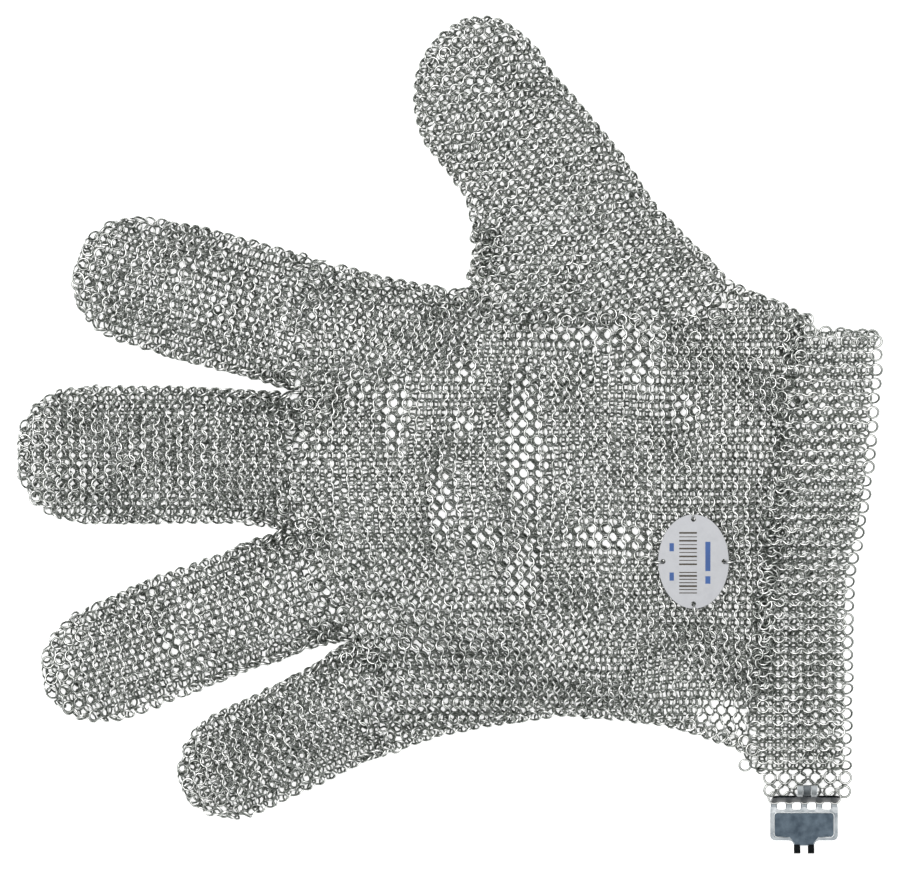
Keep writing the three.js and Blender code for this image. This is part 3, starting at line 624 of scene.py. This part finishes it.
# Values to change: where the mesh is gathered into a heap. room is the area for each ring of it.
heaps = {
    "thumbCrotch": {"line": [(-6, 30), (-3, 37), (4, 38), (10, 40), (11.5, 50), (11, 60)], "width": 5.0,
                    "room": 5.0},
    "indexCrotch": {"line": [(-42, 10), (-38, 8), (-33, 6)], "width": 6.0, "room": 6.0},
    "middleCrotch": {"line": [(-46, -30), (-40, -33), (-33, -34)], "width": 6.0, "room": 6.0},
    "ringCrotch": {"line": [(-27, -63), (-23, -66), (-18, -68)], "width": 6.0, "room": 6.0},
    "wrist": {"line": [(101.5, 34), (101, 18.7), (99.3, 5.4), (97.4, -7.8), (95.6, -25.4), (93.8, -43),
                       (92.4, -59.3), (91, -75.4)], "width": 4.6, "room": 3.0},
}


# Gathered mesh: rings strewn along a line, standing at all angles, a little under the top
def heapOfRings(line, width, room, heightOf):
    count = int(lengthOf(line) * width / room)
    here, tangent = walkLine(line, dice.uniform(0, lengthOf(line), count))
    xy = here - rightOf(tangent) * (dice.normal(0, 0.3, count) * width)[:, None]
    tilt, heading = np.radians(dice.uniform(15, 62, count)), dice.uniform(0, 2 * np.pi, count)
    normal = np.stack([np.sin(tilt) * np.cos(heading), np.sin(tilt) * np.sin(heading), np.cos(tilt)], -1)
    z = heightOf(xy) + dice.uniform(-1.8, 0.2, count)
    # Heaped rings are toned a little darker on average: painted shade, as they shade each other
    return {"centre": restOnTable(lifted(xy, z), normal), "normal": normal, "across": lifted(tangent),
            "tone": dice.normal(-0.05, 0.08, count)}


# Wire colours from the painted shade of the flanks up to the near-white painted highlight of the crowns
wireToneAndPaintedLight = [(0.2, "#494d48"), (0.5, "#818680"), (0.72, "#b9bcb7"), (0.95, "#f8f8f5")]
wire = wireWithPaintedShading("drawn_stainless_wire_painted_shading", wireToneAndPaintedLight, 0.28)


def place(piece, slot, *nodes):
    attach(piece, "root")
    if nodes:
        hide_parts(*nodes)
    return piece


# Fingers and thumb
regions = {
    "hand": [*seams["knuckles"][::-1], *seams["thumb"], (106.6, 60), *seams["wrist"]],
    "thumb": [*seams["thumb"], (130, 60), (130, 135), (-20, 135)],
    "beforeKnuckles": [*seams["knuckles"], (-17, -140), (-140, -140), (-140, 90), (-43, 90)],
}
fingerNodes = {"indexFinger": "index_finger", "middleFinger": "middle_finger", "ringFinger": "ring_finger",
               "littleFinger": "little_finger", "thumb": "thumb"}
fingerHeaps = {"indexFinger": "indexCrotch", "middleFinger": "middleCrotch", "littleFinger": "ringCrotch",
               "thumb": "thumbCrotch"}


# Laid rows whose ends along some edges give way to border rings
def bordered(laid, lines):
    for line in lines:
        laid = chosen(laid, nearestOn(laid["xy"], line)[1] > fold["borderFrom"])
    return joined(chosen(laid, inside(laid["xy"], closedOutline)), *[borderRows(line) for line in lines])


# The lower layer of laid rows: inside the fold only, and not where the slit leaves one layer
def makeLower(laid, pitch, step, disorder=1.0):
    moved = drifted(laid, pitch, step)
    deep = nearestOn(moved["xy"], outline)[1] > fold["lowerFrom"]
    kept = chosen(moved, deep & ~inSlit(moved["xy"]) & inside(moved["xy"], closedOutline))
    rings = makeRings(kept, lowerHeight, disorder=disorder)
    # painted shade: the lower layer is toned darker, as it lies under the upper one
    rings["tone"] += ring["lowerPaintedShade"]
    return rings


fingerReach = 26     # rings farther than this from the line of a finger's middle are not its own
for name, node in fingerNodes.items():
    shape = fingers[name]
    isThumb = name == "thumb"
    laid = layThumb() if isThumb else layFinger(shape)
    laid = chosen(laid, inside(laid["xy"], regions["thumb" if isThumb else "beforeKnuckles"]))
    if not isThumb:
        root = np.mean([shape["a"][-1], shape["b"][-1]], axis=0)
        laid = chosen(laid, nearestOn(laid["xy"], [shape["tip"], root])[1] < fingerReach)
    laid = warped(laid, 0.4)
    upper = bordered(laid, [aroundFinger("thumb", 2, 0)]) if isThumb else laid
    pitch = thumbRows["pitch"] if isThumb else shape["pitch"]
    parts = [makeRings(upper, upperHeight, folds=True),
             makeLower(laid, pitch, thumbRows["step"], ring["lowerDisorder"])]
    if name in fingerHeaps:
        parts.append(heapOfRings(**heaps[fingerHeaps[name]], heightOf=upperHeight))
    place(ringPiece(name + "Mesh", joined(*parts), wire), "ring_mesh", node)

# Hand: back and palm, each in two halves
laid = layHand()
laid = warped(chosen(laid, inside(laid["xy"], regions["hand"])), 0.6)
openEdges = [np.vstack([heel, edges["thumb"][1][-1:]]), crotch,
             np.vstack([edges["littleFinger"][0][-3:-1], ulnar])]
for layer in ("back", "palm"):
    if layer == "back":
        rings = makeRings(bordered(laid, openEdges), upperHeight, folds=True)
    else:
        rings = makeLower(laid, handRows["pitch"], handRows["step"])
    near = rings["centre"][:, 0] < handRows["split"]
    rest = chosen(rings, ~near)
    if layer == "back":
        rest = joined(rest, heapOfRings(**heaps["wrist"], heightOf=upperHeight),
                      edgeRings([(88.5, -90.5), (84.0, -90.8), (70.0, -85.6)], 3.4, 0.2, 14, upperHeight))
    place(ringPiece(layer + "NearFingers", chosen(rings, near), wire), "ring_mesh", "hand")
    place(ringPiece(layer + "NearWrist", rest, wire), "ring_mesh", "hand")

# Cuff: the front layer, the rear one under it, and the fold at the thumb's side. The rows next to the
# clasp lie open in a single layer.
front = layCuff()
openPart = front["xy"][:, 1] < cuff["openBelow"]
leans = np.where(front["odd"] == 0, 1.0, -1.0) * ring["lean"]
leans = np.where(openPart, np.where(front["odd"] == 0, *cuff["openLeans"]), leans)
frontRings = makeRings(front, cuffHeight, lean=leans)
rear = layCuff(rear=True)
rear["xy"] = rear["xy"] + 0.3 * np.stack([swell(*rear["xy"].T, 30, seed) for seed in (41, 42)], -1)
rearRings = makeRings(rear, lowerHeight)
# painted shade: the cuff's rear layer is toned darker, as it lies under the front one
rearRings["tone"] += ring["lowerPaintedShade"]
foldLoops = edgeRings([(104.0, 31.6), (126.5, 30.4)], 4.6, 1.9, 10, lambda points: np.full(len(points), 2.9))
slitLoops = edgeRings(cuff["slitLoops"], 5.0, 0, 8, cuffHeight)
place(ringPiece("cuffMesh", joined(frontRings, rearRings, foldLoops, slitLoops), wire), "ring_mesh", "cuff")

# Values to change: the tag, a thin oval plate on four small rings, with plain bars and bands on it
tag = {"middle": (71.5, -37.5), "size": (20.8, 27.7), "low": 10.15, "thick": 0.6, "hole": 1.35,
       "holeAt": (8.95, 12.4), "bevel": 0.08, "printHeight": 0.012}


# A flat plate with holes, cut from closed outlines: a filled curve, made a mesh, then lifted to its place
def flatPlate(name, outlines, low, thick, bevel, material):
    curve = bpy.data.curves.new(name, "CURVE")
    curve.dimensions = "2D"
    curve.fill_mode = "BOTH"
    curve.extrude = (thick / 2 - bevel) * mm
    curve.bevel_depth = bevel * mm
    curve.offset = -bevel * mm
    for points in outlines:
        spline = curve.splines.new("POLY")
        spline.points.add(len(points) - 1)
        flat = np.column_stack([points * mm, np.zeros(len(points)), np.ones(len(points))])
        spline.points.foreach_set("co", flat.ravel())
        spline.use_cyclic_u = True
    drawn = bpy.data.objects.new(name + "Curve", curve)
    bpy.context.scene.collection.objects.link(drawn)
    bpy.context.view_layer.update()
    data = bpy.data.meshes.new_from_object(drawn.evaluated_get(bpy.context.evaluated_depsgraph_get()))
    bpy.data.objects.remove(drawn)
    heights = np.empty(len(data.vertices) * 3)
    data.vertices.foreach_get("co", heights)
    heights[2::3] += (low + thick / 2) * mm
    data.vertices.foreach_set("co", heights)
    return asPiece(name, data, material, sharpAngle=25)


# An ellipse: middle + (half width cos a, half height sin a)
def ellipse(middle, halfX, halfY, steps):
    a = 2 * np.pi * np.arange(steps) / steps
    return np.column_stack([middle[0] + halfX * np.cos(a), middle[1] + halfY * np.sin(a)])


tagX, tagY = tag["middle"]
holeX, holeY = tag["holeAt"]
holes = [(tagX - holeX, tagY), (tagX + holeX, tagY), (tagX, tagY - holeY), (tagX, tagY + holeY)]
satin = plainFinish("satin_stamped_sheet", "#a3a4a7", "#98999c", 0.42, cloud=2.5)
outlines = [ellipse(tag["middle"], tag["size"][0] / 2, tag["size"][1] / 2, 96)]
outlines += [ellipse(hole, tag["hole"] / 2, tag["hole"] / 2, 20) for hole in holes]
place(flatPlate("tagPlate", outlines, tag["low"], tag["thick"], tag["bevel"], satin), "tag_plate", "tag")


# Small upright blocks joined into one mesh: rows of (x, y, width, height), relative to the tag's middle
def printBlocks(name, blocks, material):
    x, y, width, height = np.array(blocks).T
    corners = np.array([(-1, -1), (1, -1), (1, 1), (-1, 1)]) / 2
    top = tag["low"] + tag["thick"]
    flat = np.stack([tagX + x[:, None] + corners[:, 0] * width[:, None],
                     tagY + y[:, None] + corners[:, 1] * height[:, None]], -1)
    levels = np.array([top + 0.001, top + tag["printHeight"]])
    points = np.concatenate([np.broadcast_to(flat[:, None], (len(x), 2, 4, 2)),
                             np.broadcast_to(levels[None, :, None, None], (len(x), 2, 4, 1))], -1)
    faces = np.array([(4, 5, 6, 7), (3, 2, 1, 0), (0, 1, 5, 4), (1, 2, 6, 5), (2, 3, 7, 6), (3, 0, 4, 7)])
    quads = faces[None] + (np.arange(len(x)) * 8)[:, None, None]
    return putMesh(name, points.reshape(-1, 3), quads.reshape(-1, 4), material, 30)


bars = [(-1.6, y, 5.2, height) for y, height in zip(np.arange(8.4, -1.0, -1.15), [0.5, 0.25] * 5)]
bars += [(-1.6, y, 5.2, height) for y, height in zip(np.arange(-3.2, -9.4, -1.0), [0.3, 0.55, 0.3] * 3)]
bands = [(4.2, 1.5, 1.5, 8.6), (4.2, -5.4, 1.5, 2.2), (-6.4, 4.2, 1.3, 2.4), (-6.4, -4.4, 1.3, 2.4)]
brownInk = plainFinish("dark_brown_etch", "#4a4234", "#3c362b", 0.6, 0.0)
blueInk = plainFinish("blue_stoved_ink", "#3a62a4", "#2f5594", 0.55, 0.0)
place(printBlocks("tagBars", bars, brownInk), "tag_plate", "tag")
place(printBlocks("tagBands", bands, blueInk), "tag_plate", "tag")


# Single rings with finer flats: their places and the directions they face
def fineRings(name, centres, normals, slot, *nodes):
    count = len(centres)
    rings = {"centre": np.array(centres, dtype=float), "normal": np.array(normals, dtype=float),
             "across": np.tile([0.6, 0.8, 0.3], (count, 1)), "tone": np.full(count, 0.03)}
    return place(ringPiece(name, rings, wire, steps=28, sides=8), slot, *nodes)


offset = ringPath - 0.05
tagRingPlaces = [(tagX - holeX - offset, tagY), (tagX + holeX + offset, tagY), (tagX, tagY - holeY - offset),
                 (tagX, tagY + holeY + offset)]
tagRingNormals = [(0.1, 1, 0.12), (-0.12, 1, 0.1), (1, 0.1, -0.1), (1, -0.12, 0.12)]
fineRings("tagRings", [(*spot, 10.45) for spot in tagRingPlaces], tagRingNormals, "rings",
          "tag_ring_1", "tag_ring_2", "tag_ring_3", "tag_ring_4")
linkPlaces = [(104.6 + (i - 2) * 4.45, -107.3, 2.05) for i in range(5)]
fineRings("linkRings", linkPlaces, [(0.05, 0, 1)] * 5, "rings", *[f"link_ring_{i}" for i in range(1, 6)])

# Clasp: one sheet folded on five bars, the lower leaf flat on the table, the upper one standing up
clasp = {
    "x": 104.6, "thick": 0.6, "width": 19.9, "barPitch": 4.45, "barWidth": 1.8, "leafTop": -111.0,
    "leafEnd": -120.0, "corner": 1.4, "neck": 6.0, "neckEnd": -121.5, "fillet": 1.6, "prong": 1.9,
    "prongAt": 2.05, "prongEnd": -123.8, "curl": 0.5, "bend": (-108.9, 1.3), "bendRadius": 1.0,
    "rise": 78.0, "upperFrom": (-108.3, 3.0), "upperTo": (-106.3, 11.4), "upperNeck": (-105.9, 12.7),
    "upperProng": (-102.9, 14.2), "groove": 1.1, "scallop": 1.0, "scallopTop": -110.1, "edgeBand": 1.8,
}


# A strip of sheet swept along a line in Y and Z. Each place has a half width; a point is
# line + h * across the sheet + w * half width along X, round a rectangle with cut corners.
def strip(line, halfWidths, chamfer, middleX=clasp["x"]):
    line = np.array(line, dtype=float)
    half = np.broadcast_to(halfWidths, len(line))
    ahead = np.vstack([line[1:], 2 * line[-1] - line[-2]]) - np.vstack([2 * line[0] - line[1], line[:-1]])
    tangent = unit(ahead)
    h, c = clasp["thick"] / 2, chamfer
    w = np.stack([half - c, half, half, half - c, c - half, -half, -half, c - half], -1)
    v = np.array([-h, c - h, h - c, h, h, h - c, c - h, -h])
    y = line[:, 0:1] - tangent[:, 1:2] * v
    z = line[:, 1:2] + tangent[:, 0:1] * v
    points = np.stack([middleX + w, y, z], -1)
    caps = np.array([(0, 1, 6, 7), (1, 2, 5, 6), (2, 3, 4, 5)])
    quads = np.vstack([tubeQuads(len(line), 8), caps, caps[:, ::-1] + (len(line) - 1) * 8])
    if tangent[0, 0] < 0 or tangent[0, 1] < 0:
        quads = quads[:, ::-1]
    return points.reshape(-1, 3), quads


def joinParts(name, parts, material, sharpAngle=None):
    counts = np.cumsum([0] + [len(points) for points, _ in parts])
    points = np.vstack([points for points, _ in parts])
    quads = np.vstack([quads + start for (_, quads), start in zip(parts, counts)])
    return putMesh(name, points, quads, material, sharpAngle)


mid = clasp["thick"] / 2
quarter = np.radians(np.linspace(0, 90, 7))
closing = quarter[::-1][1:]
halfWide, halfNeck, halfProng = clasp["width"] / 2, clasp["neck"] / 2, clasp["prong"] / 2
cornerR, filletR = clasp["corner"], clasp["fillet"]
cornerY = clasp["leafEnd"] + cornerR * (1 - np.sin(quarter))
filletY = clasp["leafEnd"] - 0.02 - filletR * (1 - np.sin(closing))
leafY = np.concatenate([[clasp["leafTop"], clasp["leafTop"] - 0.15], cornerY, [clasp["leafEnd"] - 0.01],
                        filletY])
leafHalf = np.concatenate([[halfWide - 0.1, halfWide], halfWide - cornerR + cornerR * np.cos(quarter),
                           [halfNeck + filletR], halfNeck + filletR * (1 - np.cos(closing))])
leafLine = np.column_stack([leafY, np.full(len(leafY), mid)])
lowerLeaf = strip(leafLine, leafHalf, 0.1)

# Lower prongs, curling up to their ends
prongY = np.linspace(clasp["neckEnd"] + 0.3, clasp["prongEnd"], 8)
prongZ = mid + 0.05 + clasp["curl"] * np.clip((prongY[0] - prongY) / (prongY[0] - prongY[-1]), 0, 1) ** 2
prongX = [clasp["x"] + side * clasp["prongAt"] for side in (-1, 1)]
prongs = [strip(np.column_stack([prongY, prongZ]), halfProng, 0.15, x) for x in prongX]

# The five bars, bent round from the lower leaf to the upper one
sweep = np.radians(np.linspace(0, clasp["rise"], 9))
bendY = clasp["bend"][0] + clasp["bendRadius"] * np.sin(sweep)
bendZ = clasp["bend"][1] - clasp["bendRadius"] * np.cos(sweep)
barLine = np.vstack([[(clasp["leafTop"] - 0.3, mid)], np.column_stack([bendY, bendZ]), [clasp["upperFrom"]]])
barParts = [strip(barLine, clasp["barWidth"] / 2, 0.2, clasp["x"] + (i - 2) * clasp["barPitch"])
            for i in range(5)]

# Upper leaf, its prongs bent forward, and the web between them. upperShape is how far up the leaf, and
# how much narrower than half its width it is there.
upperA, upperB = np.array(clasp["upperFrom"]), np.array(clasp["upperTo"])
upperShape = [(0, 0.2), (0.03, 0), (0.8, 0), (0.86, 0.12), (0.92, 0.45), (0.96, 0.9), (0.985, 1.3),
              (1.0, 2.2)]
share, narrower = np.array(upperShape).T
upperLine = np.vstack([upperA + (upperB - upperA) * share[:, None], upperB + (0.01, 0.05),
                       clasp["upperNeck"]])
upperHalf = np.concatenate([halfWide - narrower, [halfNeck + 0.8, halfNeck]])
upperLeaf = strip(upperLine, upperHalf, 0.12)
neckTip, prongTip = np.array(clasp["upperNeck"]), np.array(clasp["upperProng"])
upperProngLine = np.vstack([neckTip - (0.2, 0.35), neckTip + (prongTip - neckTip) * 0.25 + (-0.1, 0.2),
                            neckTip + (prongTip - neckTip) * 0.7 + (0, 0.1), prongTip])
upperProngs = [strip(upperProngLine, halfProng, 0.15, x) for x in prongX]
upperWeb = strip(upperProngLine - (0, 0.15), clasp["prongAt"] - halfProng - 0.05, 0.12)

sheet = plainFinish("polished_spring_sheet", "#a4a9ac", "#7a8186", 0.28, cloud=3.0)
darkSheet = plainFinish("stamped_field_in_shade", "#5a6670", "#3d4852", 0.2, cloud=2.2)
# Painted shade: the standing upper leaf and the curled lower prongs are near black for the shade they lie in
paintedShadeLeaf = plainFinish("spring_leaf_painted_shade", "#131617", "#0b0d0e", 0.35, cloud=4.0)
# Painted highlight: the upper prongs and the ridge are near white for their bright reflections
highlightSheet = plainFinish("ridge_and_prongs_painted_highlight", "#e6e9ea", "#cfd4d6", 0.35)
for name, parts, finish in (("claspLower", [lowerLeaf, *barParts], sheet),
                            ("claspUpper", [upperLeaf], paintedShadeLeaf),
                            ("claspWeb", [upperWeb], sheet),
                            ("claspLowerProngs", prongs, paintedShadeLeaf),
                            ("claspUpperProngs", upperProngs, highlightSheet)):
    place(joinParts(name, parts, finish, 35), "clasp_sheet", "clasp")

# Painted highlight along the leaf's edge between the bars: a lighter plate for its bright sheen. In each
# gap a half round, top = low + scallop (1 - sqrt(1 - u^2)), where u runs from -1 to 1 across the gap
u = np.linspace(-0.999, 0.999, 13)
gapHalf = (clasp["barPitch"] - clasp["barWidth"] + 0.5) / 2
scallopY = clasp["scallopTop"] - clasp["scallop"] * np.sqrt(1 - u ** 2)
crest = [np.column_stack([(i - 1.5) * clasp["barPitch"] + gapHalf * u, scallopY]) for i in range(4)]
crest = np.vstack([[(-halfWide, clasp["scallopTop"])], *crest, [(halfWide, clasp["scallopTop"])]])
bandEnd = clasp["scallopTop"] - clasp["edgeBand"]
band = np.vstack([[(halfWide, bandEnd), (-halfWide, bandEnd)], crest])[::-1] + [clasp["x"], 0]
highlightBandSheet = plainFinish("leaf_edge_painted_highlight", "#c3c6c8", "#8d9396", 0.35, cloud=1.6)
plateLow = clasp["thick"] - 0.02     # thin plates stand on the lower leaf, sunk in a hair
place(flatPlate("claspEdgeHighlight", [band], plateLow, 0.1, 0.03, highlightBandSheet), "clasp_sheet", "clasp")

# The stamped field: a darker plate a hair above the leaf, its dark colour painted shade, and a ridge round
# it, open at the neck
fieldHalf, fieldTop = halfWide - clasp["groove"], clasp["leafTop"] - 0.8
fieldEnd = clasp["leafEnd"] + 0.95
halfField = [(fieldHalf, fieldTop), (fieldHalf, fieldEnd), (4.2, fieldEnd), (2.9, fieldEnd - 1.6),
             (2.7, -121.4)]
field = np.array([(-x, y) for x, y in halfField] + halfField[::-1]) + [clasp["x"], 0]
place(flatPlate("claspField", [field], plateLow, 0.06, 0.02, darkSheet), "clasp_sheet", "clasp")


# A round bead along a flat open line: centre + r cos b * sideways + r sin b * up
def bead(line, radius, height, sides=6):
    line = np.array(line, dtype=float)
    sideways = -rightOf(unit(np.gradient(line, axis=0)))
    b = 2 * np.pi * np.arange(sides) / sides
    taper = np.ones(len(line))
    taper[[0, -1]] = 0.3
    flat = line[:, None] + sideways[:, None] * (radius * taper)[:, None, None] * np.cos(b)[None, :, None]
    z = height + radius * taper[:, None] * np.sin(b)[None, :]
    points = np.concatenate([flat, z[..., None]], -1)
    caps = np.array([(0, 3, 2, 1), (0, 5, 4, 3)])
    around = tubeQuads(len(line), sides)[:, [0, 3, 2, 1]]
    return points.reshape(-1, 3), np.vstack([around, caps, caps[:, ::-1] + (len(line) - 1) * sides])


# The ridge's line: round the field's four corners, in a quarter turn each from its starting angle
ridgeR, ridgeGap, ridgeWire = 1.0, 4.6, 0.2
lowY, highY = fieldEnd + ridgeR, fieldTop - ridgeR
ridgeLine = [(-ridgeGap, fieldEnd)]
for side, y, start in ((-1, lowY, 270), (-1, highY, 180), (1, highY, 90), (1, lowY, 0)):
    around = np.radians(start) - np.radians(np.linspace(0, 90, 5))
    ridgeLine += [(side * (fieldHalf - ridgeR) + ridgeR * math.cos(t), y + ridgeR * math.sin(t))
                  for t in around]
ridgeLine = np.array(ridgeLine + [(ridgeGap, fieldEnd)]) + [clasp["x"], 0]
ridge = bead(ridgeLine, ridgeWire, clasp["thick"] + 0.03)
place(joinParts("claspRidge", [ridge], highlightSheet), "clasp_sheet", "clasp")

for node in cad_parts.values():
    node.data.materials.clear()
    node.data.materials.append(wire)

# Values to change: floor and light. The floor glows a little, as a light table does.
studio = {"floor": "#f7f7f6", "floorGlow": 0.63, "skyStrength": 1.35, "topPower": 6.0, "topSize": 0.9,
          "topAt": (-0.25, 0.3, 1.3),
          "sky": [(0.0, "#202224"), (0.35, "#4b4f51"), (0.62, "#9b9fa0"), (0.9, "#ffffff")]}
floorMaterial = bpy.data.materials.new("pale_matt_light_table")
floorMaterial.use_nodes = True
floorShader = floorMaterial.node_tree.nodes["Principled BSDF"]
floorShader.inputs["Base Color"].default_value = linear(studio["floor"])
floorShader.inputs["Roughness"].default_value = 0.8
floorShader.inputs["Emission Color"].default_value = (1, 1, 1, 1)
floorShader.inputs["Emission Strength"].default_value = studio["floorGlow"]
bpy.ops.mesh.primitive_plane_add(size=3.0, location=(0, 0, -0.00002))
floor = bpy.context.object
floor.name = "floor"
floor.data.materials.append(floorMaterial)

# Bright overhead, dark at the horizon: it gives each wire a pale crown between dark flanks
world = bpy.data.worlds.new("studio")
bpy.context.scene.world = world
world.use_nodes = True
tree = world.node_tree
tree.nodes.clear()
skyPlace = addNode(tree, "ShaderNodeTexCoord")
skyParts = addNode(tree, "ShaderNodeSeparateXYZ", Vector=skyPlace.outputs["Generated"])
sky = addNode(tree, "ShaderNodeValToRGB", Fac=skyParts.outputs["Z"])
setRamp(sky.color_ramp, studio["sky"])
skyLight = addNode(tree, "ShaderNodeBackground", Color=sky.outputs["Color"], Strength=studio["skyStrength"])
addNode(tree, "ShaderNodeOutputWorld", Surface=skyLight.outputs["Background"])

topLight = bpy.data.lights.new("soft_top", "AREA")
topLight.shape = "DISK"
topLight.size = studio["topSize"]
topLight.energy = studio["topPower"]
topObject = bpy.data.objects.new("soft_top", topLight)
topObject.location = studio["topAt"]
topObject.rotation_euler = (Vector((0, 0, 0)) - topObject.location).to_track_quat("-Z", "Y").to_euler()
bpy.context.scene.collection.objects.link(topObject)

view = {"middle": (0.15, -1.3), "width": 264.7, "lens": 200.0, "sensor": 36.0, "tableHeight": 5.0}
cameraData = bpy.data.cameras.new("camera")
cameraData.lens = view["lens"]
cameraData.sensor_width = view["sensor"]
camera = bpy.data.objects.new("camera", cameraData)
distance = view["width"] * view["lens"] / view["sensor"] + view["tableHeight"]
camera.location = (view["middle"][0] * mm, view["middle"][1] * mm, distance * mm)
cameraData.clip_end = 20
bpy.context.scene.collection.objects.link(camera)
bpy.context.scene.camera = camera
bpy.context.scene.view_settings.view_transform = "Standard"
